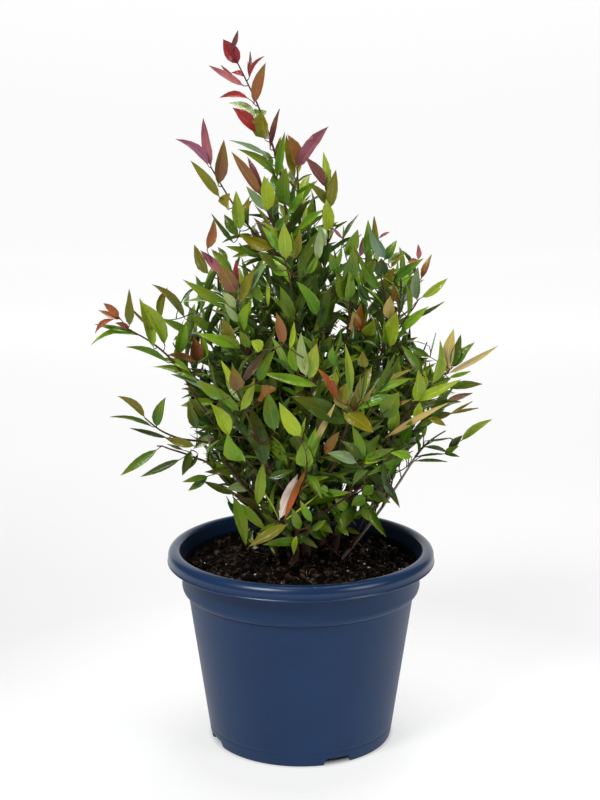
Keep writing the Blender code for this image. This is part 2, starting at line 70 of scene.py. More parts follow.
WALL = 0.003
FLOOR_UNDERSIDE = 0.009
FLOOR_TOP = 0.012
PAD_RADIUS = 0.022            # flat middle of the underside, level with the foot
SKIRT_THICKNESS = 0.004
EDGE = 0.002                  # softened corner at the foot
RIDGE = 0.0011                # round edge where the collar starts
FOOT_LINE = (0.0145, 0.0003)  # height and depth of the fine groove above the foot
FOOT_LINE_SPAN = (0.0003, 0.0009)     # from its middle to the edge of its floor and of its mouth
EVEN_MARGINS = (0.0030, 0.0100)   # points past an edge that keep the flat wall's shading even

# Drainage notches: 4 mm narrower than the solid's, steeper at the ends and turned by 3 degrees
NOTCH_COUNT = 4
NOTCH_FIRST = math.radians(-67)   # from +X
NOTCH_WIDTH = 0.036
NOTCH_HEIGHT = 0.0075
NOTCH_SLOPE = 0.0055          # how far each end leans in at the top

# Soil
SOIL_EDGE_HEIGHT = 0.186
SOIL_TOP = 0.1935
SOIL_CROWN_RADIUS = 0.062     # flat middle, where the stems stand
SOIL_SIDES = 200
SOIL_RINGS = 70
SOIL_CREASE = math.radians(60)
SOIL_SIDE_END = 0.004         # between the last ring of the side and the edge
SOIL_FALL = 1.4               # power by which the surface falls towards the edge
SOIL_RELIEF = 0.0068          # how far the soil's surface rises and falls
SOIL_DROP = 0.0015            # how far the whole surface is let down
LUMPS = (90.0, 0.62)          # how fine they are, and their share of the relief
GRIT = (330.0, 0.24)
GRIT_LAYER = 4.0              # slice of the noise that the grit is taken from
MOUND = (0.0035, 0.010)       # height and reach of the soil heaped against each stem

# Grains: how many, least and most size, unevenness, and how far the middle stands up, by size
CRUMBS = (1500, (0.0008, 0.0052), 0.28, 0.3)
PERLITE = (100, (0.0005, 0.0014), 0.22, 0.6)
GRAIN_BIAS = 3                # the more it is, the more of the grains are small
GRAIN_FLATNESS = 0.75
GRAIN_MARGIN = 0.004          # from the pot's wall
FIBRES = 240
FIBRE_LENGTH = (0.004, 0.020)
FIBRE_RADIUS = (0.00014, 0.00038)
FIBRE_CURL = 1.4              # radians that a fibre turns along its length, at most
FIBRE_STEPS = 5
FIBRE_SIDES = 5
FIBRE_MARGINS = (0.020, 0.003)    # from the pot's wall, for its start and for the rest
FIBRE_RISE = 0.0011           # of its middle line above the soil

# Limbs: on the solids' lines, with less flare at the foot
STEM_RINGS = 9
BOUGH_RINGS = 5
STEM_SIDES = 8
BOUGH_SIDES = 5
FLARE = 1.05                  # at the soil, as a share of the stem's radius
FLARE_HEIGHT = 0.012
BEND = 0.45                   # how far a limb holds its first heading, as a share of its length
LIMB_CLEARANCE = 0.0008       # between a limb and foliage that isn't its own
BARK_SIDES = 14
BARK_STEP = 0.004             # between rings of bark
BARK_CREASE = math.radians(70)
BARK_RELIEF = 0.11            # share of the radius
BARK_GRAIN = (420, 90)        # how fine the furrows are, level and upright
BARK_SHIFT = 7.3              # through the noise, from one limb to the next
STEM_INSET = 0.0070           # how far a stem's bark reaches down into the soil
BOUGH_INSET = 0.0015          # how far a bough's bark reaches into its stem
GREY_STEM = "grey_stem"
GREY_STEM_SHARE = 0.72        # the grey stem is thinner than its solid
DARK_FOOT_HEIGHTS = (0.200, 0.262)   # between them the bark turns from darker to its own colour
KNUCKLE_SPACING = 0.019       # between the leaf scars on a limb
KNUCKLE_RISE = 0.16           # share of the radius
KNUCKLE_REACH = 0.0022

# Twigs
STALK_RADIUS = (0.0014, 0.0007)   # stem of a mass, foot and tip
SHOOT_RADIUS = (0.0007, 0.0004)   # side shoot, foot and tip
STALK_RINGS = 5
SHOOT_RINGS = 3
NODE_SPACING = 0.023          # between pairs of side shoots along a stalk
SHOOT_ANGLE = math.radians(50)
SHOOT_LIFT = 0.20             # how much a side shoot turns upwards
SHOOT_SHARES = (1.25, 0.65)   # length of the lowest and the highest, as shares of the reach
SHOOT_SPREAD = (0.75, 1.15)   # how much their lengths vary
SHOOT_JITTER = 0.28           # radians
STEEP = 0.05                  # a heading this near to upright has no level direction of its own
TWIG_SIDES = 7
TWIG_STEP = 0.005             # between rings of a twig
SHADOW_SIDES = 3              # of the plain tube that stands for a side shoot in tests

# Leaves by rule
LEAF_SPACING = 0.0118         # finer than in the solids
LEAF_ANGLE = math.radians(42)
TIP_LEAF_ANGLE = math.radians(17)
STALK_BARE = 0.14             # share of a stalk below its first leaves
SHOOT_BARE = 0.010            # length of a side shoot below its first leaves
CLOSING_PLACE = 0.0010        # of the last pair of leaves, short of the shoot's tip
LEAF_WIDTH = 0.118            # half the width, as a share of the length
LEAF_SPREAD = (0.72, 1.15)    # how much the leaves' lengths vary
WIDTH_SPREAD = (0.85, 1.2)    # how much their widths vary
LEAF_JITTER = 0.30            # radians, and as much again at each further try
LEAF_TRIES = 5                # places tried for a leaf before it is skipped
YOUNG_SIZE = (0.80, 0.10)     # size of the youngest leaves, and what each older pair adds
FOLD = (0.28, 0.75)           # radians that each half is raised at the midrib
SWAY = 0.07                   # sideways bend at most, as a share of the length
TWIST = 0.5                   # radians at most
ARCH = (0.05, 0.35)           # radians that the youngest blades curve away from their upper side
SAG = (0.12, 3)               # what each older pair adds to that, and how many pairs count
FACE_JITTER = 0.6             # how much the way that a leaf faces varies
OUTWARD_PULL = 8.0            # how much each metre from the pot's axis turns it outwards
LIGHT_TURN = (0.55, 0.30)     # how much a leaf turns its upper side outwards and upwards
LEAF_DEPTH = 0.0004           # half the thickness of the body that stands for a leaf in tests
RIB_PLACE = 0.15              # where that body is thickest, as a share of its length
BELLY_PLACE = 0.40            # where it is widest
SPACE_MARGIN = -0.006         # neighbours may mingle this far
SPACE_STEPS = 30              # places on each stalk that the spaces are measured from
SOIL_CLEARANCE = 0.006
RIM_CLEARANCE = 0.006
CELL = 0.045                  # side of the cells that leaves are looked up by

# Leafy shoots straight on a stem or bough
INNER_SPACING = 0.012         # between pairs of them
INNER_LENGTH = (0.030, 0.066)
INNER_ANGLE = (0.45, 0.95)
INNER_JITTER = (0.4, 0.7)     # share of the spacing, and radians
INNER_LOWEST = 0.212          # height where they begin
INNER_LEAF = 0.046

# Leaves listed one by one
DRAWN_ARCH = (0.15, 0.40)     # radians
DRAWN_SWAY = 0.4              # share of the sideways bend of the other leaves
DRAWN_TURN = (0.6, 0.9)       # how far they turn from the front, sideways and upwards
PALE_BACK_WAY = Vector((0.0, 1.0, -0.6))     # way that the upper side faces, where the pale back shows
DRAWN_LIFT = (0.001, 0.007)   # how far they stand in front of the stem of their mass
LEAST_FACING = 0.65           # a blade turned further away isn't widened for it any more
FOLD_ALLOWANCE = 1.16         # a folded or turned blade looks narrower than it is
SHOWN_PART = (0.1, 0.95)      # stretch of such a leaf whose front is kept clear
SHOWN_MARGIN = 0.004          # things this little behind its base count as in front too
TWIG_TURN = 1.6               # the less it is, the more a twig keeps to the way its leaf points
DEPTH_COST = 900.0            # steps in the frame that a metre of depth counts for
SHORTEST_RUN = 0.5            # steps in the frame, below which a twig has no direction
SHORTEST_TWIG = 0.004         # a leaf nearer to its hold than this sits straight on it
TWIG_BOW = 0.2                # share of its length
LEAF_TWIG_RINGS = 4
LIMB_HOLDS = 40               # places along a limb or stalk that twigs may start from
STALK_HOLDS = 60              # places along a stalk that depths are read from
BARE_TWIG_HOLDS = 30
LEAF_TWIG_HOLDS = 6

# Stems: foot on the soil, tip, radius at foot and tip, bow
STEMS = {
    "leader_stem": ((0.006, 0.000), (-0.014, 0.000, 0.545), (0.0042, 0.0019), 0.00),
    "left_stem": ((-0.027, 0.004), (-0.078, 0.004, 0.385), (0.0034, 0.0018), 0.02),
    "right_stem": ((0.034, 0.006), (0.082, -0.004, 0.410), (0.0036, 0.0018), 0.01),
    "front_stem": ((-0.006, -0.024), (0.004, -0.078, 0.335), (0.0030, 0.0017), 0.02),
    "grey_stem": ((0.041, -0.014), (0.118, -0.004, 0.302), (0.0026, 0.0015), -0.01),
    "back_left_stem": ((-0.020, 0.028), (-0.058, 0.085, 0.375), (0.0034, 0.0018), 0.02),
    "back_right_stem": ((0.020, 0.030), (0.055, 0.088, 0.385), (0.0034, 0.0018), 0.02),
}

# Boughs: carrier, place along it, tip, radius at foot and tip, bow
BOUGHS = {
    "upper_front_bough": ("leader_stem", 0.50, (-0.004, -0.052, 0.438), (0.0019, 0.0014), -0.01),
    "upper_left_bough": ("leader_stem", 0.38, (-0.048, -0.050, 0.405), (0.0020, 0.0014), -0.01),
    "upper_back_bough": ("leader_stem", 0.46, (0.000, 0.052, 0.440), (0.0020, 0.0014), -0.01),
    "high_right_bough": ("leader_stem", 0.34, (0.044, -0.034, 0.415), (0.0020, 0.0014), -0.01),
    "left_outer_bough": ("left_stem", 0.62, (-0.118, -0.026, 0.392), (0.0019, 0.0014), 0.00),
    "left_low_bough": ("left_stem", 0.36, (-0.092, -0.022, 0.326), (0.0018, 0.0013), 0.01),
    "front_left_bough": ("front_stem", 0.55, (-0.040, -0.090, 0.335), (0.0018, 0.0013), -0.01),
    "front_right_bough": ("front_stem", 0.60, (0.040, -0.098, 0.345), (0.0018, 0.0013), -0.01),
    "right_high_bough": ("right_stem", 0.72, (0.098, 0.030, 0.425), (0.0018, 0.0013), -0.01),
    "right_edge_bough": ("right_stem", 0.60, (0.112, -0.012, 0.400), (0.0018, 0.0013), -0.01),
    "right_outer_bough": ("right_stem", 0.42, (0.104, -0.040, 0.352), (0.0018, 0.0013), 0.00),
    "right_low_bough": ("right_stem", 0.34, (0.104, 0.036, 0.335), (0.0018, 0.0013), 0.00),
    "back_left_bough": ("back_left_stem", 0.52, (-0.104, 0.092, 0.345), (0.0018, 0.0013), 0.00),
    "back_right_bough": ("back_right_stem", 0.52, (0.104, 0.098, 0.345), (0.0018, 0.0013), 0.00),
}

# Foliage: carrier, place along it, tip of its stem, reach of its side shoots, leaf length, tint
MASSES = {
    "leader_foliage": ("leader_stem", 1.00, (-0.062, 0.010, 0.700), 0.022, 0.038, "red"),
    "top_left_foliage": ("leader_stem", 0.88, (-0.088, -0.034, 0.602), 0.020, 0.046, "red"),
    "top_middle_foliage": ("leader_stem", 0.92, (-0.040, -0.046, 0.580), 0.020, 0.044, "bronze"),
    "top_right_foliage": ("leader_stem", 0.82, (-0.004, 0.034, 0.597), 0.024, 0.048, "bronze"),
    "right_shoulder_foliage": ("leader_stem", 0.72, (0.026, -0.020, 0.576), 0.028, 0.042, "green"),
    "upper_front_foliage": ("upper_front_bough", 1.00, (-0.016, -0.086, 0.520), 0.042, 0.048, "green"),
    "left_shoulder_foliage": ("upper_left_bough", 1.00, (-0.064, -0.078, 0.480), 0.038, 0.046, "bronze"),
    "upper_back_foliage": ("upper_back_bough", 1.00, (0.000, 0.082, 0.540), 0.044, 0.050, "green"),
    "high_right_foliage": ("high_right_bough", 1.00, (0.050, -0.062, 0.505), 0.040, 0.048, "green"),
    "left_high_foliage": ("left_stem", 1.00, (-0.120, 0.030, 0.460), 0.036, 0.048, "green"),
    "left_outer_foliage": ("left_outer_bough", 1.00, (-0.172, -0.045, 0.444), 0.028, 0.042, "lime"),
    "left_middle_foliage": ("left_stem", 0.52, (-0.112, -0.074, 0.395), 0.040, 0.050, "green"),
    "left_low_foliage": ("left_low_bough", 1.00, (-0.154, -0.050, 0.356), 0.028, 0.046, "olive"),
    "left_bottom_foliage": ("left_stem", 0.28, (-0.132, 0.016, 0.322), 0.030, 0.048, "green"),
    "front_high_foliage": ("front_stem", 1.00, (0.018, -0.128, 0.446), 0.044, 0.050, "green"),
    "front_left_foliage": ("front_left_bough", 1.00, (-0.064, -0.130, 0.408), 0.042, 0.050, "lime"),
    "front_right_foliage": ("front_right_bough", 1.00, (0.056, -0.144, 0.394), 0.042, 0.052, "olive"),
    "front_low_foliage": ("front_stem", 0.46, (-0.012, -0.136, 0.318), 0.042, 0.050, "green"),
    "front_bottom_left_foliage": ("front_stem", 0.32, (-0.076, -0.086, 0.292), 0.038, 0.048, "lime"),
    "front_bottom_right_foliage": ("front_stem", 0.36, (0.062, -0.106, 0.300), 0.038, 0.048, "green"),
    "base_left_foliage": ("left_stem", 0.10, (-0.058, -0.044, 0.246), 0.028, 0.046, "green"),
    "base_front_foliage": ("front_stem", 0.14, (-0.004, -0.078, 0.250), 0.028, 0.046, "lime"),
    "base_right_foliage": ("grey_stem", 0.24, (0.064, -0.054, 0.252), 0.028, 0.046, "green"),
    "right_upper_foliage": ("right_stem", 1.00, (0.074, -0.036, 0.512), 0.038, 0.046, "green"),
    "right_high_foliage": ("right_high_bough", 1.00, (0.104, 0.046, 0.486), 0.034, 0.046, "green"),
    "right_edge_foliage": ("right_edge_bough", 1.00, (0.124, -0.016, 0.458), 0.032, 0.044, "lime"),
    "right_outer_foliage": ("right_outer_bough", 1.00, (0.150, -0.052, 0.406), 0.034, 0.050, "orange"),
    "right_low_foliage": ("right_low_bough", 1.00, (0.152, 0.046, 0.378), 0.036, 0.048, "green"),
    "right_bottom_foliage": ("grey_stem", 1.00, (0.150, 0.006, 0.328), 0.020, 0.046, "lime"),
    "right_inner_foliage": ("grey_stem", 0.62, (0.092, -0.070, 0.302), 0.034, 0.048, "green"),
    "back_left_upper_foliage": ("back_left_stem", 1.00, (-0.074, 0.112, 0.468), 0.042, 0.052, "green"),
    "back_left_outer_foliage": ("back_left_bough", 1.00, (-0.140, 0.112, 0.402), 0.038, 0.052, "green"),
    "back_left_low_foliage": ("back_left_stem", 0.34, (-0.066, 0.126, 0.300), 0.038, 0.050, "olive"),
    "back_right_upper_foliage": ("back_right_stem", 1.00, (0.068, 0.116, 0.480), 0.042, 0.052, "green"),
    "back_right_outer_foliage": ("back_right_bough", 1.00, (0.138, 0.114, 0.402), 0.038, 0.052, "green"),
    "back_right_low_foliage": ("back_right_stem", 0.34, (0.064, 0.130, 0.300), 0.038, 0.050, "lime"),
    "back_middle_foliage": ("back_right_stem", 0.60, (0.000, 0.144, 0.402), 0.042, 0.052, "green"),
}

# Leaf tints: upper side, its flush, underside, slot of the record
TINTS = {
    "deep": ((0.038, 0.083, 0.005), (0.105, 0.112, 0.007), (0.070, 0.145, 0.026), "foliage_green"),
    "green": ((0.090, 0.198, 0.007), (0.175, 0.215, 0.010), (0.130, 0.230, 0.034), "foliage_green"),
    # pale: its grey, bluish green stands for the whitish sheen of glossy leaves, a painted sheen
    "pale": ((0.270, 0.360, 0.150), (0.180, 0.290, 0.075), (0.310, 0.370, 0.180), "foliage_green"),
    "fresh": ((0.132, 0.285, 0.007), (0.208, 0.315, 0.010), (0.220, 0.345, 0.045), "foliage_lime"),
    "lime": ((0.285, 0.410, 0.019), (0.310, 0.365, 0.024), (0.380, 0.475, 0.074), "foliage_lime"),
    "olive": ((0.162, 0.172, 0.011), (0.180, 0.134, 0.013), (0.240, 0.220, 0.050), "foliage_olive"),
    "mustard": ((0.215, 0.200, 0.004), (0.230, 0.170, 0.006), (0.340, 0.270, 0.040), "foliage_olive"),
    "bronze": ((0.270, 0.100, 0.028), (0.200, 0.145, 0.014), (0.330, 0.170, 0.065), "foliage_bronze"),
    "orange": ((0.380, 0.080, 0.010), (0.300, 0.160, 0.016), (0.560, 0.250, 0.080), "foliage_orange"),
    "rust": ((0.300, 0.072, 0.030), (0.230, 0.105, 0.018), (0.420, 0.125, 0.080), "foliage_red"),
    "red": ((0.260, 0.018, 0.020), (0.250, 0.045, 0.030), (0.400, 0.090, 0.060), "foliage_red"),
    "pink": ((0.370, 0.120, 0.115), (0.215, 0.065, 0.090), (0.500, 0.190, 0.180), "foliage_red"),
    "plum": ((0.160, 0.038, 0.044), (0.150, 0.070, 0.028), (0.200, 0.075, 0.070), "foliage_red"),
    "gold": ((0.640, 0.425, 0.120), (0.520, 0.430, 0.100), (0.600, 0.420, 0.110), "foliage_orange"),
    "dry": ((0.110, 0.060, 0.024), (0.075, 0.055, 0.016), (0.240, 0.150, 0.110), "foliage_bronze"),
    "husk": ((0.420, 0.170, 0.060), (0.500, 0.260, 0.080), (0.960, 0.780, 0.660), "foliage_bronze"),
}

PALE_BACKS = ("husk",)                # tints that turn their underside to the front
DRAWN_ONLY = ("leader_foliage",)      # masses with no leaves but those listed one by one

# Tints of a spray: at its tip, on young growth and on grown leaves
SPRAYS = {
    "red": (("red", "pink", "red", "plum"), ("olive", "fresh", "green"), ("green", "olive", "deep")),
    "bronze": (("bronze", "pink", "bronze", "orange"), ("olive", "lime", "fresh"),
               ("green", "deep", "deep")),
    "orange": (("orange", "lime", "bronze"), ("lime", "fresh", "green"), ("green", "deep", "fresh")),
    "olive": (("bronze", "olive"), ("olive", "fresh", "green"), ("deep", "green", "deep")),
    "lime": (("lime", "bronze", "olive"), ("lime", "fresh", "green"), ("green", "deep", "fresh")),
    "green": (("fresh", "lime", "olive"), ("green", "fresh", "green"), ("deep", "green", "deep", "green")),
    # darker tints for leaves inside the crown: painted shade
    "shade": (("green", "fresh"), ("green", "deep", "deep"), ("deep", "deep", "deep", "green")),
}


# Places read in the photo's frame of 600 by 800, from its upper left corner

# Dense part of the crown from the front: down, left edge, right edge
CROWN_PROFILE = [
    (110, 262, 274), (150, 258, 302), (185, 252, 328), (205, 232, 336), (225, 222, 352), (240, 218, 398),
    (260, 205, 408), (280, 186, 432), (300, 178, 430), (320, 182, 416), (340, 170, 404), (360, 168, 436),
    (380, 182, 456), (400, 186, 458), (420, 186, 436), (440, 188, 424), (460, 192, 408), (480, 204, 394),
    (500, 226, 388), (525, 236, 372), (550, 244, 345),
]
# Places inside it where the sky shows through: across, down and radius
SKY_GAPS = [(326, 250, 6), (325, 292, 5), (308, 316, 4), (266, 271, 4), (383, 470, 4), (337, 470, 4)]

# Stems of masses whose course the front view shows, from the limb outwards
DRAWN_STALKS = {
    "left_low_foliage": [(214, 443), (198, 441), (182, 439), (170, 435), (160, 430), (152, 424),
                         (145, 418)],
    "left_bottom_foliage": [(214, 468), (196, 458), (180, 452), (170, 449), (162, 446), (157, 446)],
    "right_edge_foliage": [(394, 338), (401, 326), (408, 315), (414, 307), (418, 300)],
    "front_low_foliage": [(299, 500), (303, 486), (306, 474), (307, 462)],
}

# Bare twigs that the front view shows, by their mass
DRAWN_TWIGS = {
    "right_bottom_foliage": [[(410, 465), (422, 456), (436, 454)], [(420, 449), (436, 440), (450, 438)]],
    "front_bottom_left_foliage": [[(255, 502), (240, 499), (228, 491)]],
    "upper_front_foliage": [[(285, 345), (288, 300), (292, 262)], [(312, 340), (334, 326), (340, 318)]],
    "left_middle_foliage": [[(251, 368), (240, 330), (237, 292)]],
}

# Leaves that the front view tells apart: tint, base and tip in the photo's frame, half the width and
# how far the tip lies behind the base, both in millimetres, and, where curved, how far the middle lies
# to the right of a straight leaf, in the frame's steps
DRAWN_LEAVES = {
    "leader_foliage": [
        ("red", 236, 65, 223, 39, 7.8, 3), ("plum", 231, 50, 238, 30, 2.4, 4),
        ("pink", 244, 86, 208, 65, 3.6, -6), ("red", 236, 80, 221, 65, 2.0, 8),
        ("red", 246, 76, 231, 73, 2.2, 10, 2), ("plum", 250, 76, 250, 51, 1.8, 12),
        ("plum", 248, 75, 248, 61, 1.3, 10), ("red", 252, 78, 265, 56, 2.3, -8, -3),
        ("bronze", 254, 104, 266, 62, 5.4, -6, -2), ("red", 249, 99, 219, 98, 3.3, -8, 3),
        ("pale", 256, 118, 228, 103, 4.2, 12, 4), ("red", 257, 132, 232, 107, 7.0, -5),
        ("mustard", 265, 140, 262, 111, 7.8, -14), ("plum", 270, 149, 280, 108, 2.7, 6, -2),
        ("green", 257, 117, 264, 110, 4.0, 14), ("pale", 269, 157, 228, 140, 2.6, -8, 2),
        ("green", 277, 179, 237, 149, 4.7, -5, 5), ("fresh", 277, 177, 285, 131, 4.6, -6),
        ("olive", 274, 165, 281, 136, 3.4, 16), ("green", 286, 207, 286, 167, 6.6, -10),
        ("green", 280, 194, 273, 172, 5.0, 14), ("fresh", 288, 215, 305, 190, 4.0, 16),
        ("deep", 272, 170, 262, 150, 4.0, 20),
    ],
    "top_middle_foliage": [
        ("bronze", 261, 196, 231, 151, 5.8, -6), ("plum", 262, 197, 247, 156, 4.8, 8),
        ("pale", 267, 211, 246, 186, 4.0, 2), ("lime", 269, 214, 264, 175, 5.6, -12),
        ("fresh", 283, 250, 284, 221, 5.2, -10), ("deep", 272, 217, 276, 196, 5.0, 12),
        ("lime", 277, 240, 262, 222, 4.4, -8), ("deep", 279, 247, 266, 236, 4.2, 14),
        ("mustard", 273, 249, 239, 234, 5.6, -12), ("green", 275, 232, 290, 214, 4.0, 14),
    ],
    "top_right_foliage": [
        ("pink", 298, 168, 329, 126, 7.4, -8), ("bronze", 298, 168, 287, 134, 6.2, -5, 2),
        ("olive", 295, 179, 286, 134, 4.2, 10), ("olive", 296, 184, 312, 174, 1.4, 8, -1),
        ("fresh", 294, 205, 318, 180, 4.4, -8, -1), ("deep", 293, 229, 310, 199, 4.6, -6, -2),
        ("fresh", 291, 238, 322, 210, 3.6, 10, -1), ("green", 291, 208, 283, 180, 4.5, 14),
        ("green", 288, 235, 300, 228, 4.0, 18), ("green", 291, 222, 279, 204, 4.2, 12),
    ],
    "right_shoulder_foliage": [
        ("plum", 326, 188, 304, 156, 5.2, -6), ("lime", 326, 186, 323, 151, 4.2, 6),
        ("olive", 330, 209, 336, 169, 4.8, -4), ("olive", 329, 195, 331, 169, 2.8, 12),
        ("olive", 328, 205, 307, 182, 4.6, -10), ("lime", 327, 232, 326, 199, 5.2, -10),
        ("fresh", 322, 211, 298, 231, 4.0, 8), ("pale", 318, 249, 319, 226, 5.0, -8),
        ("pale", 327, 240, 313, 226, 4.0, 12),
    ],
    "top_left_foliage": [
        ("pink", 210, 165, 203, 117, 5.0, 4), ("pink", 209, 167, 175, 139, 4.5, -5, 4),
        ("bronze", 218, 186, 224, 139, 5.5, -6, -2), ("olive", 220, 198, 190, 160, 4.6, -3, 2),
        ("mustard", 227, 209, 230, 193, 5.4, -10), ("lime", 240, 231, 236, 190, 5.6, -8),
        ("olive", 244, 215, 253, 200, 3.4, 10, -2), ("deep", 234, 243, 211, 213, 3.0, 2, -2),
        ("deep", 240, 236, 224, 214, 4.6, 10),
    ],
    "left_outer_foliage": [
        ("rust", 119, 317, 103, 303, 3.9, -4, 3), ("bronze", 118, 318, 98, 310, 3.0, 2),
        ("rust", 114, 319, 95, 334, 3.0, -4, 3), ("rust", 129, 329, 115, 323, 2.8, -3, 1),
        ("fresh", 138, 338, 90, 346, 4.8, -6, 8), ("green", 131, 332, 94, 324, 2.6, 4),
        ("olive", 129, 327, 129, 288, 5.2, 0, 3), ("lime", 154, 349, 139, 297, 6.6, 2),
        ("lime", 165, 346, 142, 302, 6.0, -10, 3), ("olive", 158, 333, 126, 303, 1.6, -16),
        ("green", 168, 363, 125, 347, 3.2, 0, 4), ("green", 200, 384, 152, 367, 4.0, 4, 6),
        ("pale", 215, 395, 170, 374, 3.6, 6, 3), ("green", 190, 372, 160, 358, 3.4, 8, 2),
    ],
    "left_high_foliage": [
        ("olive", 161, 319, 168, 287, 3.9, 4, -4), ("olive", 185, 319, 151, 284, 4.8, 2, 5),
        ("deep", 181, 303, 204, 285, 1.4, 6, -3), ("bronze", 197, 362, 166, 355, 3.8, -8),
        ("fresh", 178, 356, 187, 320, 4.6, -10, -2), ("green", 192, 334, 160, 318, 3.8, -2),
        ("green", 210, 331, 190, 314, 4.6, -6), ("rust", 198, 360, 194, 337, 5.2, -6),
        ("green", 205, 360, 200, 332, 4.6, 6),
    ],
    "left_shoulder_foliage": [
        ("bronze", 207, 250, 214, 218, 4.4, 2), ("pink", 224, 276, 200, 250, 4.6, 6),
        ("olive", 209, 275, 194, 244, 5.2, 2), ("bronze", 236, 294, 219, 263, 7.0, -8),
        ("red", 237, 291, 236, 259, 3.8, 4), ("green", 233, 272, 211, 249, 5.0, 10),
        ("deep", 227, 263, 218, 247, 2.2, 12), ("green", 238, 312, 182, 279, 5.0, -2),
        ("pale", 237, 308, 181, 303, 3.0, 4, 6), ("olive", 240, 304, 256, 266, 4.6, -4),
        ("green", 238, 325, 222, 298, 4.4, -8), ("fresh", 241, 329, 252, 300, 5.0, -8),
        ("fresh", 241, 347, 196, 333, 4.8, -6),
    ],
    "left_low_foliage": [
        ("olive", 145, 418, 117, 396, 4.0, -4, 3), ("green", 158, 427, 166, 397, 4.8, -4, -3),
        ("deep", 153, 427, 109, 417, 2.5, 0, 3), ("deep", 168, 438, 129, 428, 3.0, 2, 1),
        ("olive", 195, 446, 165, 438, 4.6, 0), ("green", 215, 402, 180, 406, 5.0, -4),
        ("deep", 197, 430, 188, 400, 5.2, 2), ("deep", 202, 395, 183, 384, 2.6, 0, 3),
        ("deep", 202, 398, 181, 389, 2.2, -4, 3), ("deep", 202, 400, 181, 399, 2.0, -6, 4),
    ],
    "left_bottom_foliage": [
        ("green", 158, 449, 120, 476, 4.8, -4), ("deep", 181, 459, 140, 477, 4.0, 0),
        ("deep", 191, 450, 182, 476, 4.8, -6), ("deep", 198, 454, 189, 469, 2.4, -4),
        ("deep", 183, 450, 167, 444, 1.6, 4), ("green", 208, 476, 182, 482, 3.4, -4),
        ("green", 208, 479, 188, 491, 3.8, 0), ("deep", 246, 470, 204, 472, 5.0, -4),
        ("deep", 236, 494, 203, 481, 3.8, 4), ("pale", 215, 436, 193, 449, 5.2, -8, 1),
        ("pale", 253, 487, 225, 489, 4.6, -8),
    ],
    "right_outer_foliage": [
        ("gold", 447, 374, 499, 345, 3.6, -6, 3), ("gold", 447, 373, 454, 328, 5.4, 2, -2),
        ("deep", 451, 368, 461, 334, 4.8, 6), ("green", 453, 368, 475, 342, 5.2, 0),
        ("lime", 432, 385, 440, 339, 6.2, -6), ("lime", 426, 389, 424, 370, 3.2, 4),
        ("lime", 416, 401, 418, 369, 5.4, -10), ("lime", 412, 401, 462, 379, 4.6, -12),
        ("deep", 446, 388, 483, 384, 3.6, 0, -1), ("fresh", 449, 378, 471, 371, 2.6, 2),
        ("dry", 447, 400, 473, 393, 2.7, -4), ("green", 421, 372, 401, 345, 4.2, 4),
        ("deep", 430, 357, 407, 346, 3.0, 8), ("deep", 412, 383, 391, 379, 3.6, 0),
        ("deep", 415, 375, 401, 366, 1.8, 0), ("pale", 429, 346, 406, 341, 0.8, 4, 1),
        ("pale", 429, 352, 436, 332, 0.8, 2), ("gold", 385, 438, 450, 402, 3.0, -10),
        ("lime", 417, 421, 420, 401, 4.4, -6), ("lime", 391, 430, 398, 408, 4.6, -12),
        ("fresh", 404, 443, 412, 420, 6.0, -10), ("deep", 432, 412, 462, 402, 4.2, 2, -3),
        ("deep", 430, 418, 452, 413, 3.4, 6), ("olive", 430, 419, 446, 426, 3.6, -4),
        ("olive", 450, 414, 473, 401, 1.5, 4), ("olive", 452, 415, 479, 408, 1.5, 6),
    ],
    "right_bottom_foliage": [
        ("lime", 461, 441, 493, 419, 4.0, -4, -3), ("deep", 449, 452, 452, 438, 2.6, 0),
        ("deep", 449, 452, 463, 435, 3.6, -2), ("green", 447, 455, 459, 446, 3.0, -4),
        ("deep", 446, 451, 460, 457, 2.2, 0), ("deep", 424, 447, 449, 454, 2.2, 4, -3),
        ("deep", 416, 461, 448, 462, 1.7, -4, -1), ("deep", 415, 456, 448, 454, 1.2, 0, -1),
        ("green", 425, 441, 451, 438, 1.4, 4),
    ],
    "high_right_foliage": [
        ("deep", 343, 239, 359, 214, 2.4, 4), ("green", 345, 254, 358, 229, 5.2, -4),
        ("green", 346, 285, 353, 246, 6.2, -12), ("fresh", 338, 275, 330, 252, 4.6, -4),
        ("green", 343, 300, 335, 270, 5.6, -12), ("fresh", 347, 303, 349, 270, 3.6, -14),
        ("pink", 343, 237, 332, 227, 1.4, 6), ("deep", 331, 307, 335, 284, 4.4, -6),
        ("deep", 357, 305, 354, 283, 4.6, 0),
    ],
    "right_upper_foliage": [
        ("fresh", 366, 259, 368, 219, 4.8, -2), ("olive", 374, 256, 374, 215, 4.6, 6),
        ("pale", 385, 259, 368, 226, 5.2, -10), ("pink", 360, 257, 363, 237, 3.2, 6),
        ("plum", 379, 238, 390, 232, 1.7, 6), ("green", 387, 259, 397, 240, 4.4, 2),
        ("pale", 388, 264, 399, 252, 3.0, 8), ("olive", 391, 268, 407, 252, 3.4, 0, -2),
        ("green", 380, 291, 359, 256, 4.6, -6), ("deep", 379, 276, 381, 258, 4.6, -8),
        ("orange", 361, 331, 361, 303, 5.0, -6), ("gold", 355, 331, 353, 311, 5.4, -12),
        ("lime", 362, 334, 374, 320, 4.8, -12),
    ],
    "right_high_foliage": [
        ("green", 392, 281, 424, 258, 3.8, -10), ("deep", 393, 279, 406, 266, 1.6, 4),
        ("olive", 386, 289, 394, 267, 4.2, -6), ("pink", 418, 260, 418, 244, 2.8, 2),
        ("rust", 418, 260, 407, 263, 2.6, 0), ("bronze", 421, 279, 432, 254, 3.2, 4),
        ("pale", 417, 301, 418, 266, 5.0, -8),
    ],
    "right_edge_foliage": [
        ("lime", 421, 298, 448, 278, 3.8, -2), ("green", 408, 318, 406, 283, 2.8, 0),
        ("deep", 412, 319, 445, 301, 2.2, 0), ("fresh", 400, 332, 429, 306, 4.4, -4),
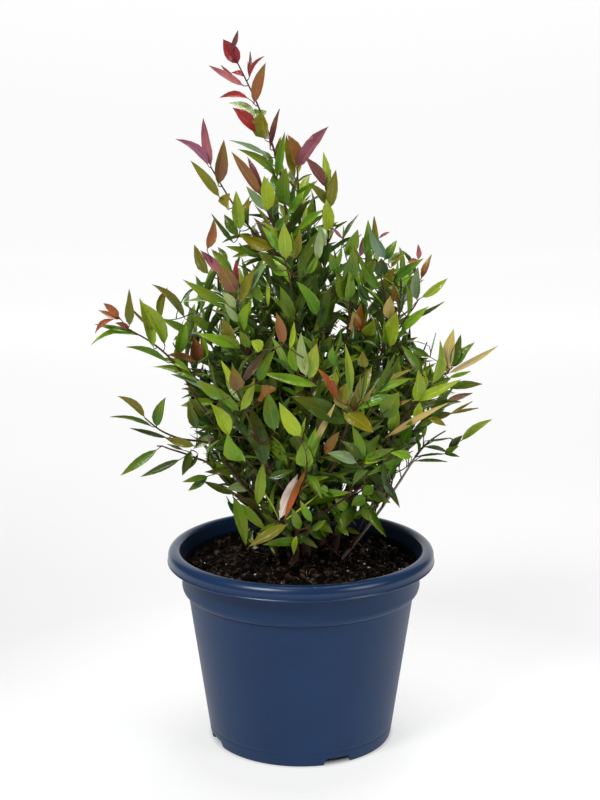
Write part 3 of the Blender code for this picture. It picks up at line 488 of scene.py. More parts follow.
        ("bronze", 397, 303, 393, 282, 2.4, -10), ("gold", 388, 319, 390, 296, 4.8, -8),
        ("lime", 390, 347, 397, 311, 6.2, -12), ("fresh", 386, 345, 384, 320, 5.0, -4),
        ("deep", 394, 345, 418, 337, 2.8, 0), ("green", 390, 341, 411, 333, 2.4, 2, -2),
    ],
    "front_left_foliage": [
        ("bronze", 236, 391, 233, 366, 6.6, -6), ("lime", 230, 436, 210, 403, 6.6, -8),
        ("fresh", 245, 462, 228, 431, 8.8, -10), ("green", 239, 411, 213, 384, 5.2, -4),
        ("green", 222, 400, 196, 381, 5.0, 0), ("lime", 241, 411, 255, 378, 3.8, -8),
        ("green", 258, 382, 275, 350, 6.0, -2), ("dry", 241, 384, 269, 346, 4.2, 2),
        ("lime", 262, 350, 251, 341, 4.4, -6), ("bronze", 264, 398, 262, 385, 6.8, -8),
        ("green", 275, 432, 268, 391, 7.0, -2), ("deep", 265, 468, 250, 405, 8.0, 6),
    ],
    "front_high_foliage": [
        ("bronze", 284, 344, 276, 312, 5.2, -4), ("lime", 286, 350, 294, 322, 3.0, 0),
        ("pale", 306, 377, 301, 332, 5.5, -6), ("lime", 310, 378, 317, 343, 6.0, -10),
        ("fresh", 296, 372, 291, 344, 5.2, 0), ("fresh", 335, 366, 333, 345, 4.0, -4),
        ("lime", 333, 388, 336, 366, 3.0, -8), ("fresh", 318, 386, 262, 373, 5.0, -4),
    ],
    "front_right_foliage": [
        ("orange", 337, 400, 317, 368, 4.0, -6), ("olive", 343, 410, 346, 383, 7.0, 0),
        ("lime", 348, 400, 345, 343, 4.2, -2), ("mustard", 342, 411, 374, 433, 7.6, -10),
        ("deep", 345, 425, 291, 396, 8.4, -4), ("gold", 313, 448, 336, 402, 2.8, -10),
        ("bronze", 325, 455, 340, 431, 3.8, -8), ("pale", 357, 463, 327, 453, 4.6, -8),
        ("deep", 363, 468, 320, 457, 4.0, -2), ("olive", 365, 368, 363, 351, 5.6, 0),
        ("deep", 374, 395, 396, 352, 2.6, 0), ("deep", 378, 392, 401, 354, 2.6, 2),
        ("fresh", 372, 393, 412, 378, 4.0, -2), ("green", 384, 418, 399, 392, 7.8, -8),
        ("bronze", 388, 410, 412, 399, 1.8, -4), ("green", 364, 459, 380, 434, 4.2, -8),
        ("deep", 363, 460, 340, 440, 4.0, -6), ("green", 362, 458, 352, 425, 5.0, -4),
        ("green", 366, 462, 395, 448, 4.0, -8), ("lime", 365, 463, 378, 462, 1.6, -8),
        ("fresh", 412, 457, 390, 453, 4.0, -8),
    ],
    "front_low_foliage": [
        ("lime", 301, 437, 279, 402, 6.8, -8), ("lime", 302, 436, 306, 417, 1.8, -6),
        ("fresh", 304, 468, 303, 441, 6.4, -10), ("fresh", 308, 467, 322, 432, 3.0, -6),
        ("fresh", 308, 447, 316, 427, 3.4, -4), ("lime", 258, 504, 264, 459, 4.8, -6),
        ("deep", 268, 478, 295, 470, 4.0, 0), ("green", 279, 518, 279, 496, 4.0, 0),
        ("green", 306, 500, 297, 490, 3.0, -4),
    ],
    "base_left_foliage": [
        ("green", 233, 497, 246, 547, 5.4, -6), ("green", 239, 503, 267, 531, 4.6, -8),
        ("green", 262, 528, 248, 512, 4.0, 0), ("green", 270, 520, 262, 500, 3.6, 2),
    ],
    "base_front_foliage": [
        ("husk", 279, 520, 298, 473, 6.8, 4), ("orange", 285, 519, 308, 466, 3.0, 0),
        ("olive", 288, 524, 248, 547, 5.0, -8), ("green", 307, 541, 262, 545, 4.8, -4),
        ("lime", 297, 536, 294, 555, 3.0, -4), ("fresh", 269, 541, 275, 554, 1.5, -4),
        ("lime", 286, 519, 325, 489, 0.9, 0), ("lime", 278, 517, 256, 482, 0.9, 0),
        ("green", 300, 530, 292, 508, 4.0, -6), ("fresh", 312, 522, 300, 500, 3.8, -2),
        ("deep", 276, 530, 256, 534, 3.6, -2), ("green", 312, 530, 326, 520, 3.4, -6),
        ("deep", 296, 540, 318, 548, 3.0, -4),
    ],
    "base_right_foliage": [
        ("green", 366, 497, 351, 505, 5.4, -4), ("green", 355, 504, 344, 530, 6.0, -6),
        ("fresh", 374, 486, 361, 496, 4.6, -4), ("green", 362, 506, 369, 521, 4.0, -4),
        ("deep", 375, 490, 385, 503, 4.0, 0),
        ("green", 346, 510, 335, 498, 5.0, -4), ("green", 336, 512, 344, 530, 5.8, -6),
        ("lime", 318, 520, 333, 533, 4.0, -6), ("fresh", 338, 525, 349, 536, 3.0, -4),
        ("green", 322, 540, 304, 523, 4.0, -4), ("fresh", 326, 538, 318, 515, 3.6, -8),
        ("green", 334, 536, 352, 515, 4.0, -4), ("deep", 330, 530, 316, 505, 4.4, 2),
        ("green", 352, 520, 372, 505, 4.2, -2), ("deep", 345, 528, 360, 534, 3.0, -4),
        ("green", 340, 520, 326, 500, 4.0, 4),
    ],
    "upper_front_foliage": [
        ("lime", 286, 260, 284, 222, 5.6, -10), ("lime", 291, 257, 292, 232, 3.4, -6),
        ("olive", 293, 260, 300, 230, 4.4, 0), ("dry", 274, 250, 253, 217, 4.4, 4),
        ("fresh", 281, 252, 262, 226, 4.0, -2), ("deep", 297, 272, 320, 229, 5.0, 2),
        ("green", 305, 276, 317, 236, 5.2, -4), ("pale", 318, 260, 320, 228, 4.2, -8),
        ("fresh", 306, 272, 318, 253, 3.8, -4), ("fresh", 317, 316, 296, 281, 6.8, -10),
        ("green", 293, 319, 280, 286, 6.4, -10), ("pale", 239, 307, 272, 256, 4.4, -6),
        ("fresh", 262, 302, 256, 278, 4.8, -4), ("lime", 268, 306, 267, 280, 1.9, -2),
        ("deep", 276, 270, 258, 252, 4.2, 4), ("green", 284, 276, 268, 262, 3.6, 2),
        ("deep", 320, 330, 331, 285, 5.2, -4), ("green", 330, 322, 336, 297, 4.6, 0),
    ],
    "left_middle_foliage": [
        ("fresh", 243, 332, 249, 302, 4.6, -8), ("olive", 234, 342, 222, 318, 5.8, -4),
        ("green", 240, 349, 221, 335, 4.0, -8), ("pale", 236, 308, 220, 291, 3.6, -8),
        ("pale", 238, 322, 224, 303, 3.2, -8), ("green", 250, 348, 240, 330, 4.4, -4),
    ],
    "right_inner_foliage": [
        ("fresh", 364, 499, 387, 538, 5.4, -8), ("deep", 381, 476, 400, 508, 4.2, -4),
        ("green", 365, 491, 391, 503, 4.0, -6), ("green", 404, 458, 366, 476, 3.2, -6),
        ("deep", 383, 462, 384, 486, 3.0, 0), ("pale", 345, 502, 334, 487, 3.8, -8),
        ("deep", 352, 500, 346, 522, 4.6, -2),
    ],
}


# Camera, light and ground

CAMERA_PLACE = Vector((-0.001, -1.610, 0.711))
CAMERA_PITCH = math.radians(90 - 12.23)
CAMERA_LENS = 72.0
CAMERA_SENSOR = 36.0
FRAME_WIDTH = 600
FRAME_HEIGHT = 800
FRAME_REACH = FRAME_HEIGHT * CAMERA_LENS / CAMERA_SENSOR    # from the eye to the frame, in its own steps
AHEAD = Vector((0.0, math.sin(CAMERA_PITCH), -math.cos(CAMERA_PITCH)))
ABOVE = Vector((0.0, math.cos(CAMERA_PITCH), math.sin(CAMERA_PITCH)))


def in_frame(point):
    """Where the camera sees a point, in the photo's frame."""
    sight = point - CAMERA_PLACE
    scale = FRAME_REACH / sight.dot(AHEAD)
    return Vector((FRAME_WIDTH / 2 + sight.x * scale, FRAME_HEIGHT / 2 - sight.dot(ABOVE) * scale))


def from_frame(spot, y):
    """The point at a depth y that the camera sees at a place in the photo's frame."""
    sight = AHEAD * FRAME_REACH + ABOVE * (FRAME_HEIGHT / 2 - spot.y)
    sight.x = spot.x - FRAME_WIDTH / 2
    return CAMERA_PLACE + sight * ((y - CAMERA_PLACE.y) / sight.y)


def set_camera():
    data = bpy.data.cameras.new("camera")
    data.lens = CAMERA_LENS
    data.sensor_width = CAMERA_SENSOR
    camera = bpy.data.objects.new("camera", data)
    camera.location = CAMERA_PLACE
    camera.rotation_euler = (CAMERA_PITCH, 0.0, 0.0)
    bpy.context.scene.collection.objects.link(camera)
    bpy.context.scene.camera = camera


def add_area(name, place, target, size, power):
    data = bpy.data.lights.new(name, "AREA")
    data.shape = "DISK"
    data.size = size
    data.energy = power
    light = bpy.data.objects.new(name, data)
    light.location = place
    light.rotation_euler = (Vector(target) - Vector(place)).to_track_quat("-Z", "Y").to_euler()
    bpy.context.scene.collection.objects.link(light)


LIGHT_TARGET = (0.0, 0.0, 0.35)
WORLD_STRENGTH = 0.16

# Lights: place, diameter and power
LIGHTS = {
    "key": ((-1.2, -1.5, 2.2), 0.9, 46.0),
    "fill": ((1.9, -1.3, 1.5), 1.2, 18.0),
    "top": ((0.1, 0.4, 2.4), 1.2, 40.0),
}

GROUND_REACH = 4.0            # half the side of the floor, and the height of the wall behind it
GROUND_CREASE = math.radians(40)
CURVE_STEPS = 9               # rows of the curve between floor and wall
CURVE_STEP = 0.16             # length of each row
# painted shadow: the paper has no glow under the pot
CONTACT_RING = (FOOT_RADIUS - 0.010, FOOT_RADIUS + 0.004)     # from no glow under the pot to all of it


def set_light():
    world = bpy.data.worlds.new("studio")
    world.use_nodes = True
    background = world.node_tree.nodes["Background"]
    background.inputs["Color"].default_value = (1.0, 1.0, 1.0, 1.0)
    background.inputs["Strength"].default_value = WORLD_STRENGTH
    bpy.context.scene.world = world
    bpy.context.scene.view_settings.view_transform = "Standard"
    for name, (place, size, power) in LIGHTS.items():
        add_area(name, place, LIGHT_TARGET, size, power)


def studio_paper():
    """Paper with a glow of its own, stronger at the back and round the pot, and none under the pot. The
    extra glow round the pot, with less at the left and more at the right in front of it, is painted light
    and shade that evens out the plant's shadow; no glow under the pot is a painted shadow.
    """
    material, shader = new_material("studio_paper", (0.40, 0.40, 0.40), 0.9, 0.0)
    shader.inputs["Emission Color"].default_value = (1.0, 1.0, 1.0, 1.0)
    nodes = Nodes(material)
    split = nodes.split(nodes.place())
    away = nodes.add("ShaderNodeVectorMath", {"operation": "LENGTH"})
    nodes.put(away, 0, nodes.place())
    distance = away.outputs["Value"]
    glow = nodes.range(split["Y"], 0.5, 2.5, 0.44, 0.76)
    # painted light: more glow round the pot fills in the plant's shadow on the floor
    lift = nodes.range(distance, 0.12, 0.45, 0.18, 0.0)
    # painted shadow: no glow under the pot, rising to full glow just past its foot
    outside_painted_shadow = nodes.range(distance, *CONTACT_RING, 0.0, 1.0)
    # painted shade at the left and painted light at the right, in front of the pot, even out the plant's
    # shadow
    near = nodes.range(split["Y"], 0.3, 1.2, 1.0, 0.0)
    sideways = nodes.math("MULTIPLY", near, nodes.range(split["X"], -0.4, 0.4, -0.05, 0.07))
    even = nodes.math("ADD", nodes.math("ADD", glow, lift), sideways)
    nodes.put(shader, "Emission Strength", nodes.math("MULTIPLY", even, outside_painted_shadow))
    return material


def ground_steps():
    """The rows of the curve behind the pot, and then the wall."""
    turns = [math.radians(90 * (turn + 0.5) / CURVE_STEPS) for turn in range(CURVE_STEPS)]
    rows = [Vector((0.0, math.cos(turn), math.sin(turn))) * CURVE_STEP for turn in turns]
    return rows + [UP * GROUND_REACH]


def add_ground():
    shape = bmesh.new()
    bmesh.ops.create_grid(shape, x_segments=1, y_segments=1, size=GROUND_REACH)
    far = [edge for edge in shape.edges if all(vert.co.y > GROUND_REACH / 2 for vert in edge.verts)]
    for step in ground_steps():
        grown = bmesh.ops.extrude_edge_only(shape, edges=far)["geom"]
        verts = [item for item in grown if isinstance(item, bmesh.types.BMVert)]
        bmesh.ops.translate(shape, vec=step, verts=verts)
        far = [edge for edge in shape.edges if edge.verts[0] in verts and edge.verts[1] in verts]
    ground = new_piece("ground", shape, [studio_paper()], GROUND_CREASE)


# Materials

def new_material(name, color, roughness, specular=0.5):
    material = bpy.data.materials.new(name)
    material.use_nodes = True
    shader = material.node_tree.nodes["Principled BSDF"]
    shader.inputs["Base Color"].default_value = (*color, 1.0)
    shader.inputs["Roughness"].default_value = roughness
    shader.inputs["Specular IOR Level"].default_value = specular
    return material, shader


class Nodes:
    """Short calls for a material's node tree."""

    def __init__(self, material):
        self.tree = material.node_tree

    def add(self, kind, settings=None, **inputs):
        node = self.tree.nodes.new(kind)
        for key, value in (settings or {}).items():
            setattr(node, key, value)
        for key, value in inputs.items():
            self.put(node, key.replace("_", " "), value)
        return node

    def put(self, node, key, value):
        """Link a socket to a node's input, or give the input a plain value."""
        if isinstance(value, bpy.types.NodeSocket):
            self.tree.links.new(value, node.inputs[key])
        else:
            node.inputs[key].default_value = value

    def noise(self, vector, scale, detail=4.0, roughness=0.55):
        node = self.add("ShaderNodeTexNoise", Vector=vector, Scale=scale, Detail=detail,
                        Roughness=roughness)
        return node.outputs["Fac"]

    def ramp(self, value, stops):
        node = self.add("ShaderNodeValToRGB", Fac=value)
        elements = node.color_ramp.elements
        while len(elements) < len(stops):
            elements.new(0.5)
        for element, (position, color) in zip(elements, stops):
            element.position = position
            element.color = (*color, 1.0)
        return node.outputs["Color"]

    def range(self, value, low, high, to_low, to_high):
        node = self.add("ShaderNodeMapRange", Value=value, From_Min=low, From_Max=high,
                        To_Min=to_low, To_Max=to_high)
        return node.outputs["Result"]

    def mix(self, share, first, second):
        node = self.add("ShaderNodeMix", {"data_type": "RGBA"})
        for key, value in ((0, share), (6, first), (7, second)):
            self.put(node, key, (*value, 1.0) if isinstance(value, tuple) else value)
        return node.outputs[2]

    def math(self, operation, first, second=0.0):
        node = self.add("ShaderNodeMath", {"operation": operation})
        self.put(node, 0, first)
        self.put(node, 1, second)
        return node.outputs["Value"]

    def times(self, value, factor):
        return self.math("MULTIPLY", value, factor)

    def split(self, vector):
        return self.add("ShaderNodeSeparateXYZ", Vector=vector).outputs

    def bump(self, height, strength, distance, shader):
        node = self.add("ShaderNodeBump", Height=height, Strength=strength, Distance=distance)
        self.put(shader, "Normal", node.outputs["Normal"])

    def place(self):
        return self.add("ShaderNodeTexCoord").outputs["Object"]

    def stretched(self, scale):
        return self.add("ShaderNodeMapping", Vector=self.place(), Scale=scale).outputs["Vector"]


def scaled_color(color, factor, lift=0.0):
    """A colour made lighter or darker, with no part of it over 1."""
    return tuple(min(1.0, part * factor + lift) for part in color)


def pot_plastic(name, dark, light, specular, roughness):
    """Moulded plastic with a slow change of tone, fine grain and scuffs."""
    material, shader = new_material(name, dark, roughness, specular)
    nodes = Nodes(material)
    place = nodes.place()
    cloud = nodes.noise(place, 9.0, 3.0)
    color = nodes.ramp(cloud, [(0.30, dark), (0.70, light)])
    scuff = nodes.noise(nodes.stretched((60.0, 60.0, 14.0)), 3.0, 6.0, 0.7)
    scuffs = nodes.range(scuff, 0.62, 0.80, 0.0, 0.20)
    nodes.put(shader, "Base Color", nodes.mix(scuffs, color, (0.060, 0.085, 0.130)))
    nodes.put(shader, "Roughness", nodes.range(cloud, 0.3, 0.7, roughness - 0.04, roughness + 0.04))
    grain = nodes.noise(place, 900.0, 2.0)
    nodes.bump(grain, 0.10, 0.0004, shader)
    return material


def navy_plastic():
    return pot_plastic("navy_plastic", (0.0066, 0.0290, 0.087), (0.0095, 0.0370, 0.110), 0.22, 0.43)


def polished_rim():
    """The rim is smoother than the wall, and its darker, deeper blue is painted shade."""
    return pot_plastic("polished_rim", (0.0040, 0.0235, 0.078), (0.0060, 0.0300, 0.096), 0.46, 0.27)


def dusty_inside():
    """The inner wall is darkened with painted shade."""
    return pot_plastic("dusty_inside", (0.0030, 0.0075, 0.018), (0.0050, 0.0120, 0.028), 0.15, 0.55)


def potting_soil():
    material, shader = new_material("potting_soil", (0.012, 0.009, 0.007), 0.95, 0.06)
    nodes = Nodes(material)
    place = nodes.place()
    tone = nodes.noise(place, 105.0, 7.0, 0.72)
    color = nodes.ramp(tone, [(0.40, (0.0020, 0.0016, 0.0012)), (0.54, (0.008, 0.0056, 0.0042)),
                              (0.62, (0.120, 0.075, 0.050))])
    nodes.put(shader, "Base Color", color)
    nodes.bump(nodes.noise(place, 420.0, 5.0, 0.75), 0.9, 0.0020, shader)
    return material


def perlite_white():
    material, shader = new_material("perlite_white", (0.72, 0.70, 0.66), 0.9, 0.2)
    nodes = Nodes(material)
    nodes.bump(nodes.noise(nodes.place(), 1500.0, 3.0), 0.6, 0.0005, shader)
    return material


def straw_fibre():
    material, shader = new_material("straw_fibre", (0.28, 0.19, 0.11), 0.85, 0.25)
    nodes = Nodes(material)
    tone = nodes.noise(nodes.place(), 60.0, 1.0)
    color = nodes.ramp(tone, [(0.45, (0.022, 0.014, 0.009)), (0.58, (0.070, 0.044, 0.025)),
                              (0.70, (0.34, 0.25, 0.15))])
    nodes.put(shader, "Base Color", color)
    return material


def bark(name, furrow, ridge, blush):
    """Thin bark with upright furrows, patches flushed with red, and a foot that is darker towards the
    bottom.
    """
    material, shader = new_material(name, ridge, 0.8, 0.3)
    nodes = Nodes(material)
    along_wood = nodes.noise(nodes.stretched((340.0, 340.0, 60.0)), 2.0, 6.0, 0.65)
    patch = nodes.noise(nodes.place(), 28.0, 3.0)
    color = nodes.ramp(along_wood, [(0.34, furrow), (0.66, ridge)])
    flushed = nodes.mix(nodes.range(patch, 0.45, 0.70, 0.0, 0.7), color, blush)
    darker_foot = nodes.range(nodes.split(nodes.place())["Z"], *DARK_FOOT_HEIGHTS, 0.8, 0.0)
    nodes.put(shader, "Base Color", nodes.mix(darker_foot, flushed, (0.075, 0.036, 0.026)))
    nodes.bump(along_wood, 0.6, 0.0006, shader)
    return material


def twig_skin():
    material, shader = new_material("twig_skin", (0.07, 0.03, 0.02), 0.5, 0.25)
    nodes = Nodes(material)
    patch = nodes.noise(nodes.place(), 20.0, 3.0)
    color = nodes.ramp(patch, [(0.36, (0.085, 0.015, 0.014)), (0.52, (0.085, 0.034, 0.018)),
                               (0.68, (0.075, 0.090, 0.018))])
    nodes.put(shader, "Base Color", color)
    nodes.bump(nodes.noise(nodes.stretched((900.0, 900.0, 200.0)), 1.0, 3.0), 0.3, 0.0003, shader)
    return material


def blade_places(nodes):
    """Place along a blade, distance from its midrib and the leaf's own tone."""
    split = nodes.split(nodes.add("ShaderNodeUVMap", {"uv_map": "blade"}).outputs["UV"])
    sideways = nodes.math("ABSOLUTE", nodes.math("SUBTRACT", split["Y"], 0.5))
    tone = nodes.add("ShaderNodeAttribute", {"attribute_name": "tone"}).outputs["Fac"]
    return split["X"], sideways, tone


def leaf_upper(name, color, flush):
    """Glossy upper side, cold and dark to warm and light, with a flush, a pale midrib and veins."""
    material, shader = new_material(name, color, 0.25, 0.29)
    nodes = Nodes(material)
    lengthways, sideways, tone = blade_places(nodes)
    patch = nodes.noise(nodes.place(), 60.0, 3.0)
    share = nodes.math("ADD", nodes.times(tone, 0.65), nodes.times(patch, 0.35))
    red, green, blue = color
    darker = (red * 0.42, green * 0.60, blue * 1.4 + 0.002)
    lighter = (min(1.0, red * 1.65 + 0.010), min(1.0, green * 1.45 + 0.008), blue * 1.2)
    plain = nodes.mix(share, darker, lighter)
    cloud = nodes.noise(nodes.place(), 34.0, 2.0)
    blush = nodes.math("ADD", nodes.times(lengthways, 0.45), cloud)
    body = nodes.mix(nodes.range(blush, 0.60, 0.95, 0.0, 0.85), plain, flush)
    rib = nodes.range(sideways, 0.012, 0.045, 0.40, 0.0)
    nodes.put(shader, "Base Color", nodes.mix(rib, body, scaled_color(color, 1.9, 0.035)))
    slant = nodes.math("SUBTRACT", nodes.times(lengthways, 88.0), nodes.times(sideways, 34.0))
    veins = nodes.times(nodes.math("SINE", slant), 0.06)
    dents = nodes.times(nodes.noise(nodes.place(), 170.0, 1.0), 4.0)
    height = nodes.math("SUBTRACT", nodes.math("ADD", veins, dents), rib)
    nodes.bump(height, 0.40, 0.0005, shader)
    nodes.put(shader, "Roughness", nodes.range(patch, 0.3, 0.7, 0.15, 0.31))
    return material


def leaf_under(name, color):
    """Duller, paler underside with a raised midrib."""
    material, shader = new_material(name, color, 0.6, 0.20)
    nodes = Nodes(material)
    _, sideways, tone = blade_places(nodes)
    body = nodes.mix(tone, scaled_color(color, 0.75), scaled_color(color, 1.25))
    rib = nodes.range(sideways, 0.02, 0.08, 0.7, 0.0)
    nodes.put(shader, "Base Color", nodes.mix(rib, body, scaled_color(color, 1.4, 0.04)))
    nodes.bump(rib, 0.3, 0.0004, shader)
    return material


# Pieces

def new_piece(name, shape, materials, smooth_angle=None):
    """Turn a bmesh into a named object at the origin."""
    mesh = bpy.data.meshes.new(name)
    shape.to_mesh(mesh)
    shape.free()
    if smooth_angle is not None:
        mesh.shade_smooth()
        mesh.set_sharp_from_angle(angle=smooth_angle)
    for material in materials:
        mesh.materials.append(material)
    piece = bpy.data.objects.new(name, mesh)
    bpy.context.scene.collection.objects.link(piece)
    return piece


def finish_piece(piece, slot, *nodes):
    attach(piece, "root")
    if nodes:
        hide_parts(*nodes)


def append_shape(whole, part):
    """Add one bmesh to another."""
    mesh = bpy.data.meshes.new("part")
    part.to_mesh(mesh)
    part.free()
    whole.from_mesh(mesh)
    bpy.data.meshes.remove(mesh)


# Pot

def arc(center, radii, start, end, count):
    """Points (radius, height) on a stretch of an ellipse, angles in degrees."""
    points = []
    for step in range(count):
        angle = math.radians(start + (end - start) * step / (count - 1))
        points.append((center[0] + radii[0] * math.cos(angle), center[1] + radii[1] * math.sin(angle)))
    return points


def turned(profile, sides):
    """A closed solid turned about Z from (radius, height) points that start and end on the axis."""
    shape = bmesh.new()
    points = [shape.verts.new((radius, 0.0, height)) for radius, height in profile]
    edges = [shape.edges.new(pair) for pair in zip(points, points[1:])]
    bmesh.ops.spin(shape, geom=points + edges, cent=(0, 0, 0), axis=UP, angle=2 * math.pi,
                   steps=sides, use_merge=True, use_duplicate=False)
    bmesh.ops.remove_doubles(shape, verts=shape.verts, dist=SAME_PLACE)
    bmesh.ops.recalc_face_normals(shape, faces=shape.faces)
    return shape


def wall_radius(height):
    """Radius of the pot's outside at a height, along the wall and then the collar."""
    if height <= SHOULDER_HEIGHT:
        return FOOT_RADIUS + (SHOULDER_RADIUS - FOOT_RADIUS) * height / SHOULDER_HEIGHT
    share = min(1.0, (height - SHOULDER_HEIGHT) / (COLLAR_HEIGHT - SHOULDER_HEIGHT))
    return SHOULDER_RADIUS + (COLLAR_RADIUS - SHOULDER_RADIUS) * share


def inner_radius(height):
    return wall_radius(height) - WALL


def rim_profile():
    """From the rim's lower edge over its face and round top into the mouth."""
    face = RIM_RADIUS - LIP
    lip = arc((face, RIM_UNDERSIDE + LIP), (LIP, LIP), -90, 60, 7)
    round_size = (face - RIM_CREST_RADIUS, RIM_TOP - RIM_FACE_HEIGHT)
    round_top = arc((RIM_CREST_RADIUS, RIM_FACE_HEIGHT), round_size, 0, 90, 14)
    curl_size = (RIM_CREST_RADIUS - MOUTH_RADIUS, MOUTH_CURL)
    inner_curl = arc((RIM_CREST_RADIUS, RIM_TOP - MOUTH_CURL), curl_size, 90, 180, 9)[1:]
    return lip + [(face, RIM_UNDERSIDE + 3 * LIP)] + round_top + inner_curl


def pot_profile():
    skirt_inside = FOOT_RADIUS - SKIRT_THICKNESS
    underside = [(0, 0), (PAD_RADIUS, 0), (PAD_RADIUS + EDGE, FLOOR_UNDERSIDE),
                 (skirt_inside - EDGE, FLOOR_UNDERSIDE), (skirt_inside, 0)]
    foot = arc((FOOT_RADIUS - EDGE, EDGE), (EDGE, EDGE), -90, 0, 5)
    line, depth = FOOT_LINE
    floor, mouth = FOOT_LINE_SPAN
    beside, below = EVEN_MARGINS
    dips = ((-below, 0.0), (-beside, 0.0), (-mouth, 0.0), (-floor, depth), (floor, depth), (mouth, 0.0),
            (beside, 0.0))
    groove = [(wall_radius(line + rise) - dip, line + rise) for rise, dip in dips]
    shoulder = [(wall_radius(SHOULDER_HEIGHT - beside), SHOULDER_HEIGHT - beside)]
    shoulder += arc((SHOULDER_RADIUS, SHOULDER_HEIGHT + RIDGE), (RIDGE, RIDGE), -80, 30, 6)
    swell_size = (COLLAR_RADIUS - SHOULDER_RADIUS - RIDGE, COLLAR_HEIGHT - SHOULDER_HEIGHT - 2 * RIDGE)
    swell = arc((SHOULDER_RADIUS + RIDGE, COLLAR_HEIGHT), swell_size, -88, 0, 10)
    collar = arc((COLLAR_RADIUS + COLLAR_FILLET, RIM_UNDERSIDE - COLLAR_FILLET),
                 (COLLAR_FILLET, COLLAR_FILLET), 180, 90, 5)
    inside = [(inner_radius(height), height) for height in
              (RIM_UNDERSIDE, COLLAR_HEIGHT, SHOULDER_HEIGHT, FLOOR_TOP)]
    return underside + foot + groove + shoulder + swell + collar + rim_profile() + inside + [(0, FLOOR_TOP)]


def notch_blocks():
    """Four trapezoid blocks that cut the drainage notches through the skirt."""
    shape = bmesh.new()
    for index in range(NOTCH_COUNT):
        turn = Matrix.Rotation(NOTCH_FIRST + index * 2 * math.pi / NOTCH_COUNT, 4, "Z")
        size = Matrix.Diagonal((4 * SKIRT_THICKNESS, NOTCH_WIDTH, 2 * NOTCH_HEIGHT, 1.0))
        at = Matrix.Translation((FOOT_RADIUS - SKIRT_THICKNESS / 2, 0, 0))
        block = bmesh.ops.create_cube(shape, size=1.0, matrix=at @ size)
        for vert in block["verts"]:
            if vert.co.z > 0:
                vert.co.y -= math.copysign(NOTCH_SLOPE, vert.co.y)
        bmesh.ops.transform(shape, matrix=turn, verts=block["verts"])
    return shape


def pot_finish(point):
    """Which of the pot's three finishes a place on it has: wall, rim or inner wall, the last two darkened
    with painted shade.
    """
    radius = math.hypot(point.x, point.y)
    inwards, under = RIM_SLACK
    if radius > MOUTH_RADIUS - inwards:
        return int(point.z > RIM_UNDERSIDE - under)
    return 2 if point.z > FLOOR_TOP and radius < wall_radius(point.z) - WALL / 2 else 0


def make_pot():
    plastic = navy_plastic()
    shape = turned(pot_profile(), POT_SIDES)
    for face in shape.faces:
        face.material_index = pot_finish(face.calc_center_median())
    pot = new_piece("nursery_pot", shape, [plastic, polished_rim(), dusty_inside()])
    blocks = new_piece("notch_blocks", notch_blocks(), [plastic])
    cut = pot.modifiers.new("Notches", "BOOLEAN")
    cut.operation = "DIFFERENCE"
    cut.solver = "EXACT"
    cut.object = blocks
    bpy.context.view_layer.update()
    depsgraph = bpy.context.evaluated_depsgraph_get()
    pot.data = bpy.data.meshes.new_from_object(pot.evaluated_get(depsgraph))
    pot.modifiers.clear()
    bpy.data.objects.remove(blocks, do_unlink=True)
    pot.data.shade_smooth()
    pot.data.set_sharp_from_angle(angle=POT_CREASE)
    finish_piece(pot, "pot_plastic", "pot")


# Soil

def soil_height(x, y):
    """Height of the crumbly surface at a place."""
    radius = math.hypot(x, y)
    edge = inner_radius(SOIL_EDGE_HEIGHT)
    share = max(0.0, (radius - SOIL_CROWN_RADIUS) / (edge - SOIL_CROWN_RADIUS))
    level = SOIL_TOP + (SOIL_EDGE_HEIGHT - SOIL_TOP) * min(1.0, share) ** SOIL_FALL
    lump_scale, lump_share = LUMPS
    grit_scale, grit_share = GRIT
    lumps = noise.fractal(Vector((x, y, 0.0)) * lump_scale, 1.0, 2.1, 4)
    grit = noise.noise(Vector((x, y, GRIT_LAYER)) * grit_scale)
    rise, reach = MOUND
    feet = [foot for foot, *_ in STEMS.values()]
    heaped = max(math.exp(-((x - foot[0]) ** 2 + (y - foot[1]) ** 2) / reach ** 2) for foot in feet)
    return level + SOIL_RELIEF * (lump_share * lumps + grit_share * grit) + rise * heaped - SOIL_DROP


def make_soil():
    edge = inner_radius(SOIL_EDGE_HEIGHT) - GAP
    heights = (FLOOR_TOP + GAP, SHOULDER_HEIGHT, COLLAR_HEIGHT, SOIL_EDGE_HEIGHT - SOIL_SIDE_END)
    side = [(inner_radius(height) - GAP, height) for height in heights]
    top = [(edge * (1 - ring / SOIL_RINGS), SOIL_TOP) for ring in range(SOIL_RINGS)]
    shape = turned([(0, FLOOR_TOP + GAP)] + side + top + [(0, SOIL_TOP)], SOIL_SIDES)
    for vert in shape.verts:
        if vert.co.z > SOIL_EDGE_HEIGHT:
            vert.co.z = soil_height(vert.co.x, vert.co.y)
    finish_piece(new_piece("potting_soil", shape, [potting_soil()], SOIL_CREASE), "soil", "soil")


def grain_shape(size, rng, rough):
    """A small irregular grain."""
    shape = bmesh.new()
    bmesh.ops.create_icosphere(shape, subdivisions=1, radius=size)
    for vert in shape.verts:
        vert.co *= 1.0 + rough * rng.uniform(-1, 1)
        vert.co.z *= GRAIN_FLATNESS
    turn = Quaternion((rng.gauss(0, 1), rng.gauss(0, 1), rng.gauss(0, 1), 1.0)).normalized()
    bmesh.ops.transform(shape, matrix=turn.to_matrix().to_4x4(), verts=shape.verts)
    return shape


def soil_place(rng, margin):
    radius = (inner_radius(SOIL_EDGE_HEIGHT) - margin) * math.sqrt(rng.random())
    angle = rng.uniform(0, 2 * math.pi)
    x, y = radius * math.cos(angle), radius * math.sin(angle)
    return Vector((x, y, soil_height(x, y)))


